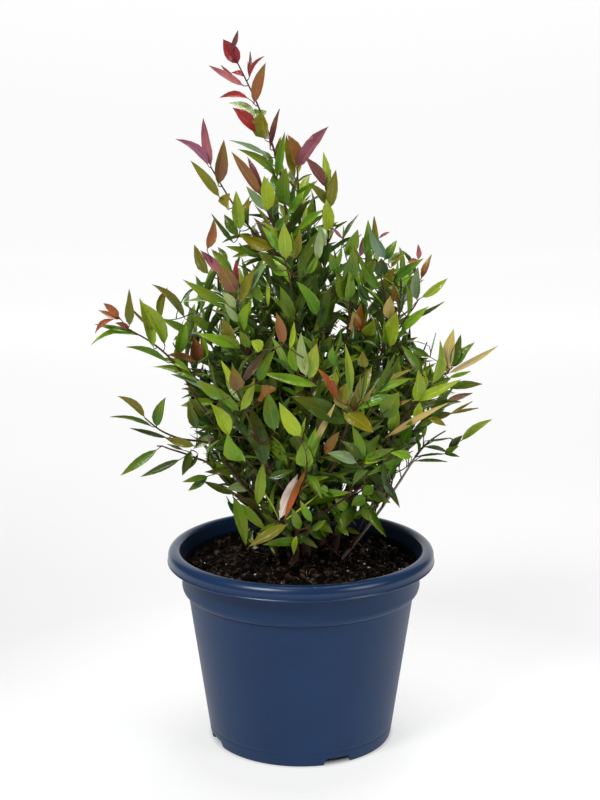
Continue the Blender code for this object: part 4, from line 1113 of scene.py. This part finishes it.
def make_grains(name, material, count, sizes, rough, rise):
    rng = random.Random(name)
    whole = bmesh.new()
    low, high = sizes
    for _ in range(count):
        size = low + (high - low) * rng.random() ** GRAIN_BIAS
        grain = grain_shape(size, rng, rough)
        at = soil_place(rng, GRAIN_MARGIN) + UP * size * rise
        bmesh.ops.translate(grain, vec=at, verts=grain.verts)
        append_shape(whole, grain)
    finish_piece(new_piece(name, whole, [material]), "soil")


def fibre_line(start, angle, curl, length, margin):
    """Points of a curled fibre that lies on the soil, as far as it stays clear of the wall."""
    points = []
    for step in range(FIBRE_STEPS + 1):
        way = angle + curl * step / FIBRE_STEPS
        if step:
            start = start + Vector((math.cos(way), math.sin(way), 0.0)) * length / FIBRE_STEPS
        if math.hypot(start.x, start.y) > inner_radius(SOIL_EDGE_HEIGHT) - margin:
            break
        points.append(Vector((start.x, start.y, soil_height(start.x, start.y) + FIBRE_RISE)))
    return points


def make_fibres():
    rng = random.Random("fibres")
    whole = bmesh.new()
    start_margin, margin = FIBRE_MARGINS
    for _ in range(FIBRES):
        start = soil_place(rng, start_margin)
        length = rng.uniform(*FIBRE_LENGTH)
        angle = rng.uniform(0, 2 * math.pi)
        curl = rng.uniform(-FIBRE_CURL, FIBRE_CURL)
        thickness = rng.uniform(*FIBRE_RADIUS)
        points = fibre_line(start, angle, curl, length, margin)
        if len(points) > 2:
            append_shape(whole, tube(points, [thickness] * len(points), FIBRE_SIDES))
    finish_piece(new_piece("soil_fibres", whole, [straw_fibre()], SOIL_CREASE), "soil")


# Curved limbs, drawn as in the solids

def bend(foot, control, tip, count):
    """Points on a quadratic curve."""
    points = []
    for step in range(count):
        t = step / (count - 1)
        points.append(foot * (1 - t) ** 2 + control * 2 * t * (1 - t) + tip * t ** 2)
    return points


def along(points, place):
    """Point and heading at a share of a line of points."""
    position = place * (len(points) - 1)
    index = min(int(position), len(points) - 2)
    point = points[index].lerp(points[index + 1], position - index)
    return point, (points[index + 1] - points[index]).normalized()


def spread(points, count):
    """Points at even shares of a line, with both its ends."""
    return [along(points, step / count)[0] for step in range(count + 1)]


def shorten(points, share, steps=3):
    """The same line, ended at a share of its run."""
    return [along(points, share * step / steps)[0] for step in range(steps + 1)]


def run_length(points):
    return sum((b - a).length for a, b in zip(points, points[1:]))


def frames_along(points, radii):
    """A placed and scaled frame for each ring of a tube, turned as little as possible."""
    frames = []
    turn = None
    for index, (point, radius) in enumerate(zip(points, radii)):
        ahead = points[min(index + 1, len(points) - 1)] - points[max(index - 1, 0)]
        ahead.normalize()
        if turn is None:
            turn = UP.rotation_difference(ahead)
        else:
            turn = (turn @ UP).rotation_difference(ahead) @ turn
        frames.append(Matrix.LocRotScale(point, turn, Vector((radius, radius, radius))))
    return frames


def tube(points, radii, sides):
    """A closed tapering tube."""
    shape = bmesh.new()
    frames = frames_along(points, radii)
    bmesh.ops.create_circle(shape, cap_ends=True, segments=sides, radius=1.0, matrix=frames[0])
    edges = list(shape.edges)
    for before, after in zip(frames, frames[1:]):
        grown = bmesh.ops.extrude_edge_only(shape, edges=edges)["geom"]
        ring = {item for item in grown if isinstance(item, bmesh.types.BMVert)}
        edges = [item for item in grown if isinstance(item, bmesh.types.BMEdge)
                 and item.verts[0] in ring and item.verts[1] in ring]
        bmesh.ops.transform(shape, matrix=after @ before.inverted(), verts=list(ring))
    bmesh.ops.edgeloop_fill(shape, edges=edges)
    bmesh.ops.recalc_face_normals(shape, faces=shape.faces)
    return shape


def taper(start, end, count):
    return [start + (end - start) * step / (count - 1) for step in range(count)]


def shadow_of(shape):
    """The surface of a bmesh, for tests of overlap. The bmesh itself is freed."""
    shadow = BVHTree.FromBMesh(shape)
    shape.free()
    return shadow


def make_tree(points):
    tree = KDTree(len(points))
    for index, point in enumerate(points):
        tree.insert(point, index)
    tree.balance()
    return tree


class Limb:
    """A stem or bough: its middle line, the radius along it, and its shape for clearance."""

    def __init__(self, name, points, radii, sides):
        self.name = name
        self.points = points
        self.radii = radii
        self.shadow = shadow_of(tube(points, [radius + LIMB_CLEARANCE for radius in radii], sides))

    def radius_at(self, place):
        position = place * (len(self.radii) - 1)
        index = min(int(position), len(self.radii) - 2)
        return self.radii[index] + (self.radii[index + 1] - self.radii[index]) * (position - index)

    def seat(self, place, tip):
        """Foot and heading of something that this limb carries towards tip."""
        point, heading = along(self.points, place)
        if place >= 1.0:
            return point + heading * GAP, heading
        way = (tip - point).normalized()
        outward = (way - heading * way.dot(heading)).normalized()
        start = point + outward * (self.radius_at(place) + GAP)
        return start, (outward + heading).normalized()


def plan_stem(name):
    foot, tip, radii, bow = STEMS[name]
    start = Vector((*foot, SOIL_TOP + GAP))
    end = Vector(tip)
    points = bend(start, (start + end) / 2 + UP * bow, end, STEM_RINGS)
    thickness = taper(*radii, STEM_RINGS)
    points.insert(1, along([points[0], points[1]], FLARE_HEIGHT / (points[1] - points[0]).length)[0])
    thickness.insert(1, thickness[0])
    thickness[0] *= FLARE
    return Limb(name, points, thickness, STEM_SIDES)


def plan_bough(name, limbs):
    carrier, place, tip, radii, bow = BOUGHS[name]
    end = Vector(tip)
    start, heading = limbs[carrier].seat(place, end)
    middle = start + heading * (end - start).length * BEND
    points = bend(start, middle + UP * bow, end, BOUGH_RINGS)
    return Limb(name, points, taper(*radii, BOUGH_RINGS), BOUGH_SIDES)


def smooth_line(points, radii, step):
    """Points and radii at even steps along a smooth curve through a line of points."""
    fine_points, fine_radii = [], []
    for index in range(len(points) - 1):
        a, b, c, d = (points[max(0, min(len(points) - 1, index + shift))] for shift in (-1, 0, 1, 2))
        count = max(1, round((c - b).length / step))
        for part in range(count):
            t = part / count
            fine_points.append(b + 0.5 * t * (c - a + t * (2 * a - 5 * b + 4 * c - d
                                                           + t * (3 * (b - c) + d - a))))
            fine_radii.append(radii[index] + (radii[index + 1] - radii[index]) * t)
    return fine_points + [points[-1]], fine_radii + [radii[-1]]


def swollen(points, radii):
    """The radii along a limb, thicker at the knuckles of old leaf scars."""
    run = 0.0
    grown = []
    for index, radius in enumerate(radii):
        run += (points[index] - points[index - 1]).length if index else 0.0
        off = (run / KNUCKLE_SPACING + 0.5) % 1.0 - 0.5
        rise = KNUCKLE_RISE * math.exp(-(off * KNUCKLE_SPACING / KNUCKLE_REACH) ** 2)
        grown.append(radius * (1.0 + rise))
    return grown


def bark_tube(limb, share, seed, foot_inset):
    """A limb with furrowed bark and knuckles."""
    points, radii = smooth_line(limb.points, [radius * share for radius in limb.radii], BARK_STEP)
    points[0] = points[0] - (points[1] - points[0]).normalized() * foot_inset
    shape = tube(points, swollen(points, radii), BARK_SIDES)
    middle = make_tree(points)
    level, upright = BARK_GRAIN
    for vert in shape.verts:
        center = middle.find(vert.co)[0]
        place = Vector((vert.co.x * level, vert.co.y * level, vert.co.z * upright + seed * BARK_SHIFT))
        vert.co += (vert.co - center) * BARK_RELIEF * noise.fractal(place, 1.0, 2.0, 3)
    return shape


def make_bark(limbs):
    brown = bark("brown_bark", (0.035, 0.018, 0.013), (0.150, 0.092, 0.064), (0.130, 0.034, 0.025))
    grey = bark("grey_bark", (0.210, 0.185, 0.165), (0.520, 0.480, 0.440), (0.330, 0.260, 0.230))
    seeds = {name: seed for seed, name in enumerate(limbs)}
    brown_stems = [name for name in STEMS if name != GREY_STEM]
    for key, material, slot, names, share, inset in (
            ("stem_bark", brown, "bark", brown_stems, 1.0, STEM_INSET),
            ("grey_stem_bark", grey, "grey_bark", [GREY_STEM], GREY_STEM_SHARE, STEM_INSET),
            ("bough_bark", brown, "bark", list(BOUGHS), 1.0, BOUGH_INSET)):
        whole = bmesh.new()
        for name in names:
            append_shape(whole, bark_tube(limbs[name], share, seeds[name], inset))
        finish_piece(new_piece(key, whole, [material], BARK_CREASE), slot, *names)


# Foliage: leaves listed one by one, and the rule of the solids carried to finer growth

class Stalk:
    """The stem of one mass of foliage, and the rest of its plan."""

    def __init__(self, name, limbs):
        carrier, place, tip, self.reach, self.leaf, self.tint = MASSES[name]
        self.name = name
        end = Vector(tip)
        start, heading = limbs[carrier].seat(place, end)
        self.points = bend(start, start + heading * (end - start).length * BEND, end, STALK_RINGS)
        spots = DRAWN_STALKS.get(name, ())
        if spots:
            change = end.y - start.y
            depths = [start.y + change * (step + 1) / len(spots) for step in range(len(spots))]
            self.points = [start] + [from_frame(Vector(spot), depth) for spot, depth in zip(spots, depths)]
        self.length = run_length(self.points)


def space_trees(stalks):
    """For each stalk, a tree of places on its own stem and one of places on all the others."""
    samples = {stalk.name: spread(stalk.points, SPACE_STEPS) for stalk in stalks}
    trees = {}
    for stalk in stalks:
        others = [point for name in samples if name != stalk.name for point in samples[name]]
        trees[stalk.name] = (make_tree(samples[stalk.name]), make_tree(others))
    return trees


def over_soil(point):
    """Whether a point is clear of the soil and the pot."""
    radius = math.hypot(point.x, point.y)
    if radius > inner_radius(SOIL_EDGE_HEIGHT) - RIM_CLEARANCE:
        return point.z > RIM_TOP + RIM_CLEARANCE
    return point.z > SOIL_TOP + SOIL_CLEARANCE


def in_profile(point):
    """Whether the camera sees a point inside the dense part of the crown and off the gaps in it."""
    across, down = in_frame(point)
    for gap_across, gap_down, size in SKY_GAPS:
        if math.hypot(across - gap_across, down - gap_down) < size:
            return False
    for (upper, left, right), (lower, next_left, next_right) in zip(CROWN_PROFILE, CROWN_PROFILE[1:]):
        if upper <= down <= lower:
            share = (down - upper) / (lower - upper)
            return left + (next_left - left) * share < across < right + (next_right - right) * share
    return False


def in_space(points, trees):
    """Whether all points lie in the crown, off the soil and, given trees, near their own stem."""
    for point in points:
        if trees and trees[0].find(point)[2] + SPACE_MARGIN > trees[1].find(point)[2]:
            return False
        if not over_soil(point) or not in_profile(point):
            return False
    return True


def side_vector(heading, roll):
    """A direction square to the heading, turned round it by roll."""
    level = heading.cross(UP)
    if level.length < STEEP:
        level = heading.cross(BACK)
    return Quaternion(heading, roll) @ level.normalized()


def shoot_line(foot, heading, roll, angle, length):
    """A shoot that leaves its stem at an angle and turns a little upwards."""
    way = heading * math.cos(angle) + side_vector(heading, roll) * math.sin(angle)
    tip = foot + (way + UP * SHOOT_LIFT).normalized() * length
    return bend(foot, foot + way * length * 0.5, tip, SHOOT_RINGS)


def side_shoots(stalk):
    """Pairs of side shoots up a stalk, each pair turned a quarter from the last."""
    rng = random.Random(stalk.name)
    phase = rng.uniform(0, math.pi)
    pairs = max(2, round(stalk.length / NODE_SPACING) - 1)
    lowest, highest = SHOOT_SHARES
    shoots = []
    for pair in range(pairs):
        place = (pair + 1) / (pairs + 1)
        foot, heading = along(stalk.points, place)
        roll = phase + pair * math.pi / 2 + rng.uniform(-SHOOT_JITTER, SHOOT_JITTER)
        share = lowest + (highest - lowest) * place
        for side in (0, math.pi):
            length = stalk.reach * share * rng.uniform(*SHOOT_SPREAD)
            shoots.append(shoot_line(foot, heading, roll + side, SHOOT_ANGLE, length))
    return shoots


def inner_shoots(limb, rng):
    """Leafy shoots that leave a stem or bough on their own, pair above pair."""
    length = run_length(limb.points)
    phase = rng.uniform(0, math.pi)
    shift, turn = INNER_JITTER
    shoots = []
    for pair in range(1, int(length / INNER_SPACING)):
        for side in (0, math.pi):
            foot, heading = along(limb.points, (pair + rng.uniform(-shift, shift)) * INNER_SPACING / length)
            roll = phase + pair * math.pi / 2 + side + rng.uniform(-turn, turn)
            angle = rng.uniform(*INNER_ANGLE)
            reach = rng.uniform(*INNER_LENGTH)
            if foot.z > INNER_LOWEST:
                shoots.append(shoot_line(foot, heading, roll, angle, reach))
    return shoots


def leaf_places(points, first, rng):
    """Point, heading, roll, angle and age of each leaf along a shoot, with a closing pair at its tip."""
    length = run_length(points)
    roll = rng.uniform(0, math.pi)
    count = max(0, round((length - first) / LEAF_SPACING))
    places = []
    for node in range(count + 1):
        closing = node == count
        place = 1.0 - CLOSING_PLACE / length if closing else (first + node * LEAF_SPACING) / length
        point, heading = along(points, place)
        angle = TIP_LEAF_ANGLE if closing else LEAF_ANGLE
        for side in (0, math.pi):
            places.append((point, heading, roll + node * math.pi / 2 + side, angle, count - node))
    return places


class Leaf:
    """One leaf: where it starts, where it points and faces, its size and its tint."""

    def blade(self, rng):
        """The bends of this blade: folded at the midrib, bent sideways, twisted and waved."""
        self.tone = rng.random()
        self.fold = rng.uniform(*FOLD)
        self.sway = rng.uniform(-SWAY, SWAY)
        self.twist = rng.uniform(-TWIST, TWIST)
        self.wave = rng.uniform(0, 2 * math.pi)

    def draw(self, tint, base, tip, half, rng):
        """A leaf between two given ends, its upper side to the front and a little up."""
        self.tint = tint
        self.base = base
        self.length = (tip - base).length
        self.way = (tip - base).normalized()
        self.arch = rng.uniform(*DRAWN_ARCH)
        self.blade(rng)
        self.sway *= DRAWN_SWAY
        sideways, upwards = DRAWN_TURN
        front = Vector((rng.uniform(-sideways, sideways), -1.0, rng.uniform(0.0, upwards)))
        if tint in PALE_BACKS:
            front = PALE_BACK_WAY
        self.face = (front - self.way * front.dot(self.way)).normalized()
        # A blade turned away from the eye is wider, for it to look as wide as it was read
        self.half = half / max(LEAST_FACING, abs(self.face.dot(AHEAD)))
        # The blade curves away from its upper side, so it starts raised for its tip to end in place
        self.way = (self.way + self.face * self.arch / 2).normalized()
        self.face = (self.face - self.way * self.face.dot(self.way)).normalized()
        return self

    def grow(self, place, stalk, jitter, rng):
        """A leaf by rule at a place on its shoot, turned at random by up to the jitter."""
        point, heading, roll, angle, age = place
        angle += rng.uniform(-jitter, jitter) / 2
        outward = side_vector(heading, roll + rng.uniform(-jitter, jitter))
        self.base = point
        self.way = heading * math.cos(angle) + outward * math.sin(angle)
        face = heading * math.sin(angle) - outward * math.cos(angle)
        chance = Vector([rng.uniform(-FACE_JITTER, FACE_JITTER) for _ in range(3)])
        outside = Vector((point.x, point.y, 0.0)) * OUTWARD_PULL + chance
        face = face + outside * LIGHT_TURN[0] + UP * LIGHT_TURN[1]
        self.face = (face - self.way * face.dot(self.way)).normalized()
        youngest, growth = YOUNG_SIZE
        self.length = stalk.leaf * min(1.0, youngest + growth * age) * rng.uniform(*LEAF_SPREAD)
        self.half = self.length * LEAF_WIDTH * rng.uniform(*WIDTH_SPREAD)
        sag, most = SAG
        self.arch = rng.uniform(*ARCH) + sag * min(age, most)
        self.age = age
        self.blade(rng)
        return self

    def corners(self):
        """Five corners of the plain body that stands for the blade in tests."""
        across = self.way.cross(self.face) * self.half
        rib = self.base + self.way * self.length * RIB_PLACE
        drop = self.face * self.arch * self.length * 0.5
        belly = self.base + self.way * self.length * BELLY_PLACE - drop * BELLY_PLACE ** 2
        return [rib + self.face * LEAF_DEPTH, rib - self.face * LEAF_DEPTH,
                belly + across, belly - across, self.base + self.way * self.length - drop]


def free_part(corners):
    """The surface of a leaf without its root, which always meets its own twig."""
    shape = bmesh.new()
    for corner in corners:
        shape.verts.new(corner)
    bmesh.ops.convex_hull(shape, input=shape.verts)
    return shadow_of(shape)


class Crowd:
    """What has been placed so far, kept by place so that only near things are tested."""

    def __init__(self):
        self.cells = {}
        self.shown = []

    def key(self, point):
        return tuple(int(math.floor(part / CELL)) for part in point)

    def add(self, point, shadow):
        self.cells.setdefault(self.key(point), []).append(shadow)

    def show(self, leaf):
        """Keep the front of a drawn leaf clear."""
        end = leaf.base + leaf.way * leaf.length
        half = leaf.half * FRAME_REACH / (leaf.base - CAMERA_PLACE).length
        self.shown.append((in_frame(leaf.base), in_frame(end), half, leaf.base.y))

    def hides(self, points):
        """Whether any of the points lies in front of a drawn leaf."""
        first, last = SHOWN_PART
        for point in points:
            seen = in_frame(point)
            for base, end, half, depth in self.shown:
                run = end - base
                share = max(first, min(last, (seen - base).dot(run) / run.length_squared))
                if point.y < depth + SHOWN_MARGIN and (seen - base - run * share).length < half:
                    return True
        return False

    def blocks(self, point, shadow):
        x, y, z = self.key(point)
        for dx in (-1, 0, 1):
            for dy in (-1, 0, 1):
                for dz in (-1, 0, 1):
                    for other in self.cells.get((x + dx, y + dy, z + dz), ()):
                        if shadow.overlap(other):
                            return True
        return False


def pick_tint(stalk, on_stalk, age, rng):
    """A tint by age; where the tips are listed one by one, the rule's own leaves stay plain."""
    tips, young, grown = SPRAYS[stalk.tint]
    if stalk.name in DRAWN_LEAVES:
        tips = young
    if on_stalk and age <= 1:
        return rng.choice(tips)
    if on_stalk and age <= 3 or age == 0:
        return rng.choice(young)
    return rng.choice(grown)


def places_on(points, count):
    """Places along a line, each with what the camera sees of it."""
    return [(place, in_frame(place)) for place in spread(points, count)]


def best_hold(holds, base, depth, heading):
    """The place on a limb or twig from which a short twig best reaches a leaf's base in the frame."""
    def cost(hold):
        place, seen = hold
        run = base - seen
        turn = run.normalized().dot(heading) if run.length > SHORTEST_RUN else 1.0
        return run.length * (TWIG_TURN - turn) + abs(place.y - depth) * DEPTH_COST
    return min(holds, key=cost)[0]


def nearest_depth(places, spot):
    return min(places, key=lambda place: (place[1] - spot).length)[0].y


def draw_twigs(stalk, holds):
    """The bare twigs of one mass that the front view shows, each joined to the nearest limb or twig."""
    own = places_on(stalk.points, STALK_HOLDS)
    twigs = []
    for spots in DRAWN_TWIGS.get(stalk.name, ()):
        spots = [Vector(spot) for spot in spots]
        depth = nearest_depth(own, spots[0])
        line = [from_frame(spot, depth) for spot in spots]
        line.insert(0, best_hold(holds, spots[0], depth, (spots[1] - spots[0]).normalized()))
        twigs.append(line)
        holds += places_on(line[1:], BARE_TWIG_HOLDS)
    return twigs


def draw_leaves(stalk, holds, crowd):
    """The leaves of one mass that the front view tells apart, each on a short twig of its own."""
    rng = random.Random(stalk.name + " drawn")
    own = places_on(stalk.points, STALK_HOLDS)
    leaves, twigs = [], []
    for row in DRAWN_LEAVES.get(stalk.name, ()):
        tint, base_across, base_down, tip_across, tip_down, half, lean, *bow = row
        root, end = Vector((base_across, base_down)), Vector((tip_across, tip_down))
        depth = nearest_depth(own, root) - rng.uniform(*DRAWN_LIFT)
        base = from_frame(root, depth)
        tip = from_frame(end, depth + lean * MILLIMETRE)
        foot = best_hold(holds, root, depth, (end - root).normalized())
        reach = (base - foot).length
        if reach < SHORTEST_TWIG:
            base = foot
        else:
            middle = foot.lerp(base, 0.5) - (tip - base).normalized() * reach * TWIG_BOW
            twigs.append(bend(foot, middle, base, LEAF_TWIG_RINGS))
            holds += places_on(twigs[-1], LEAF_TWIG_HOLDS)
        leaf = Leaf().draw(tint, base, tip, half * MILLIMETRE * FOLD_ALLOWANCE, rng)
        leaf.sway += sum(bow) / (end - root).length
        corners = leaf.corners()
        crowd.add(corners[2].lerp(corners[3], 0.5), free_part(corners))
        crowd.show(leaf)
        leaves.append(leaf)
    return twigs, leaves


def grow_mass(stalk, trees, blocked, crowd):
    """Shoots and leaves of one mass."""
    rng = random.Random(stalk.name + " leaves")
    shoots = [(stalk.points, stalk.length * STALK_BARE, True)]
    for points in side_shoots(stalk):
        if not in_space(points[1:], trees) or crowd.hides(points[1:]):
            continue
        shadow = shadow_of(tube(points, [SHOOT_RADIUS[0]] * len(points), SHADOW_SIDES))
        if not any(shadow.overlap(other) for other in blocked):
            shoots.append((points, SHOOT_BARE, False))
    return grow_leaves(shoots, stalk, trees, blocked, crowd, rng)


def grow_inside(limb, blocked, crowd):
    """Shoots and leaves straight on one stem or bough."""
    rng = random.Random(limb.name + " inside")
    shoots = [(points, SHOOT_BARE, False) for points in inner_shoots(limb, rng)
              if in_space(points[1:], None) and not crowd.hides(points[1:])]
    # the darker tints of these inner leaves are painted shade
    limb.leaf, limb.tint = INNER_LEAF, "shade"
    return grow_leaves(shoots, limb, None, blocked, crowd, rng)


def find_room(place, stalk, trees, blocked, crowd, rng):
    """A leaf that has room at a place on its shoot, or None after as many tries as are allowed."""
    for attempt in range(LEAF_TRIES):
        leaf = Leaf().grow(place, stalk, LEAF_JITTER * (1 + attempt), rng)
        corners = leaf.corners()
        shadow = free_part(corners)
        middle = corners[2].lerp(corners[3], 0.5)
        if not in_space(corners[2:], trees) or any(shadow.overlap(other) for other in blocked):
            continue
        if crowd.blocks(middle, shadow) or crowd.hides(corners):
            continue
        crowd.add(middle, shadow)
        return leaf
    return None


def grow_leaves(shoots, stalk, trees, blocked, crowd, rng):
    """Leaves in pairs along the shoots, and the side shoots that bear any."""
    leaves, bearing = [], []
    for points, first, on_stalk in shoots:
        borne = []
        for place in leaf_places(points, first, rng):
            leaf = find_room(place, stalk, trees, blocked, crowd, rng)
            if leaf is not None:
                leaf.tint = pick_tint(stalk, on_stalk, leaf.age, rng)
                borne.append(leaf)
        leaves += borne
        if borne and not on_stalk:
            reach = (borne[-1].base - points[0]).length / (points[-1] - points[0]).length
            bearing.append(shorten(points, min(1.0, reach)))
    return bearing, leaves


# Leaf meshes

BLADE_ROWS = (0.0, 0.05, 0.16, 0.32, 0.50, 0.68, 0.84, 0.95)
# Corners round a section, four strips above and then the keel: place across and height, as shares
BLADE_SECTION = ((-1.0, 0.0), (-0.5, 0.6), (0.0, 0.25), (0.5, 0.6), (1.0, 0.0), (0.0, -1.0))
MARGINS = (0, 4)              # those of its corners that lie at the blade's edges
BLADE_SHAPE = (0.75, 1.15)    # powers by which it widens from the root and narrows to the tip
WIDEST = 0.395
PETIOLE = 0.0006
BLADE_DEPTH = 0.00028
DEPTH_TAPER = 1.3             # the blade's depth at its root, as a share; it is one less at the tip
CUP = 0.7                     # power by which the halves rise from the midrib
RIPPLE = (0.15, 9)            # height of the waves in a margin by half width, and how close they are


def blade_half(t):
    """Half width of the blade along its length, as a share of the widest."""
    b = max(0.0, (t - BLADE_ROWS[1]) / (1 - BLADE_ROWS[1]))
    near, far = BLADE_SHAPE
    return b ** near * (1 - b) ** far / (WIDEST ** near * (1 - WIDEST) ** far)


def vectors(leaves, name):
    return np.array([getattr(leaf, name) for leaf in leaves], float)


def blade_points(leaves):
    """Vertices of every leaf, as an array by leaf, vertex and axis."""
    base, way, face = (vectors(leaves, name) for name in ("base", "way", "face"))
    shares = ("length", "half", "arch", "fold", "sway", "twist", "wave")
    length, half, arch, fold, sway, twist, wave = (vectors(leaves, name)[:, None] for name in shares)
    ripple_height, ripples = RIPPLE
    across = np.cross(way, face)
    rings = []
    for t in BLADE_ROWS + (1.0,):
        angle = arch * t
        center = base + way * length * np.sin(angle) / arch - face * length * (1 - np.cos(angle)) / arch
        center = center + across * length * sway * 4 * t * (1 - t)
        normal = face * np.cos(angle) + way * np.sin(angle)
        turn = twist * t
        side = across * np.cos(turn) + normal * np.sin(turn)
        lift = normal * np.cos(turn) - across * np.sin(turn)
        if t == 1.0:
            rings.append(center)
            break
        wide = np.maximum(half * blade_half(t), PETIOLE)
        in_blade = t > BLADE_ROWS[1]
        deep = BLADE_DEPTH * (DEPTH_TAPER - t) if in_blade else PETIOLE
        for s, height in BLADE_SECTION:
            rise = abs(s) ** CUP * wide * np.sin(fold) * in_blade
            ripple = ripple_height * wide * s * abs(s) * np.sin(ripples * t + wave) * in_blade
            rings.append(center + side * s * wide * np.cos(fold) + lift * (rise + ripple + deep * height))
    return np.stack(rings, axis=1)


def blade_faces():
    """Faces of one leaf, whether each lies on the underside, and the leaf's own UV places."""
    ring = len(BLADE_SECTION)
    rows = len(BLADE_ROWS)
    faces, under = [tuple(reversed(range(ring)))], [1]
    for row in range(rows):
        for index in range(ring):
            a, b = row * ring + index, row * ring + (index + 1) % ring
            faces.append((a, b, b + ring, a + ring) if row < rows - 1 else (a, b, rows * ring))
            under.append(int(index >= MARGINS[1]))
    places = [(t, 0.5 + 0.5 * s) for t in BLADE_ROWS for s, _ in BLADE_SECTION] + [(1.0, 0.5)]
    return faces, under, places


def sharpen_margins(mesh, per_leaf):
    """Mark the edges that run along both margins of every leaf as sharp."""
    ends = np.zeros(len(mesh.edges) * 2, np.int32)
    mesh.edges.foreach_get("vertices", ends)
    spots = (ends % per_leaf).reshape(-1, 2)
    ring = len(BLADE_SECTION)
    margin = (np.abs(spots[:, 0] - spots[:, 1]) == ring) & np.isin(spots[:, 0] % ring, MARGINS)
    sharp = mesh.attributes.new("sharp_edge", "BOOLEAN", "EDGE")
    sharp.data.foreach_set("value", margin)


def make_leaves(tint, leaves, replaced):
    """All the leaves of one tint as a mesh with upper sides and undersides."""
    upper, flush, below, slot = TINTS[tint]
    points = blade_points(leaves)
    faces, under, places = blade_faces()
    per_leaf = points.shape[1]
    everyone = [tuple(corner + number * per_leaf for corner in face)
                for number in range(len(leaves)) for face in faces]
    mesh = bpy.data.meshes.new("leaves_" + tint)
    mesh.from_pydata(points.reshape(-1, 3).tolist(), [], everyone)
    mesh.materials.append(leaf_upper("leaf_upper_" + tint, upper, flush))
    mesh.materials.append(leaf_under("leaf_under_" + tint, below))
    mesh.polygons.foreach_set("material_index", np.tile(under, len(leaves)).astype(np.int32))
    corners = np.zeros(len(mesh.loops), np.int32)
    mesh.loops.foreach_get("vertex_index", corners)
    layer = mesh.uv_layers.new(name="blade")
    layer.data.foreach_set("uv", np.array(places, np.float32)[corners % per_leaf].ravel())
    tone = mesh.attributes.new("tone", "FLOAT", "POINT")
    tone.data.foreach_set("value", np.repeat(vectors(leaves, "tone"), per_leaf).astype(np.float32))
    mesh.shade_smooth()
    sharpen_margins(mesh, per_leaf)
    mesh.update()
    piece = bpy.data.objects.new("leaves_" + tint, mesh)
    bpy.context.scene.collection.objects.link(piece)
    finish_piece(piece, slot, *replaced)


def make_twigs(stalks, shoots):
    whole = bmesh.new()
    lines = [(stalk.points, STALK_RADIUS, TWIG_SIDES) for stalk in stalks]
    lines += [(line, SHOOT_RADIUS, TWIG_SIDES - 1) for line in shoots]
    for line, radius, sides in lines:
        points, radii = smooth_line(line, taper(*radius, len(line)), TWIG_STEP)
        append_shape(whole, tube(points, radii, sides))
    finish_piece(new_piece("twigs", whole, [twig_skin()], BARK_CREASE), "bark")


def make_foliage(limbs):
    stalks = [Stalk(name, limbs) for name in MASSES]
    trees = space_trees(stalks)
    blocked = [limb.shadow for limb in limbs.values()]
    crowd = Crowd()
    holds = [place for line in list(limbs.values()) + stalks for place in places_on(line.points, LIMB_HOLDS)]
    shoots = [twig for stalk in stalks for twig in draw_twigs(stalk, holds)]
    batches = [draw_leaves(stalk, holds, crowd) for stalk in stalks]
    batches += [grow_mass(stalk, trees[stalk.name], blocked, crowd) for stalk in stalks
                if stalk.name not in DRAWN_ONLY]
    batches += [grow_inside(limb, blocked, crowd) for limb in limbs.values()]
    leaves = []
    for twigs, leafage in batches:
        shoots += twigs
        leaves += leafage
    make_twigs(stalks, shoots)
    replaced = list(MASSES)
    for tint in TINTS:
        chosen = [leaf for leaf in leaves if leaf.tint == tint]
        if chosen:
            make_leaves(tint, chosen, replaced)
            replaced = []


set_camera()
set_light()
add_ground()
make_pot()
make_soil()
make_grains("soil_crumbs", potting_soil(), *CRUMBS)
make_grains("perlite", perlite_white(), *PERLITE)
make_fibres()
limbs = {name: plan_stem(name) for name in STEMS}
for bough in BOUGHS:
    limbs[bough] = plan_bough(bough, limbs)
make_bark(limbs)
make_foliage(limbs)
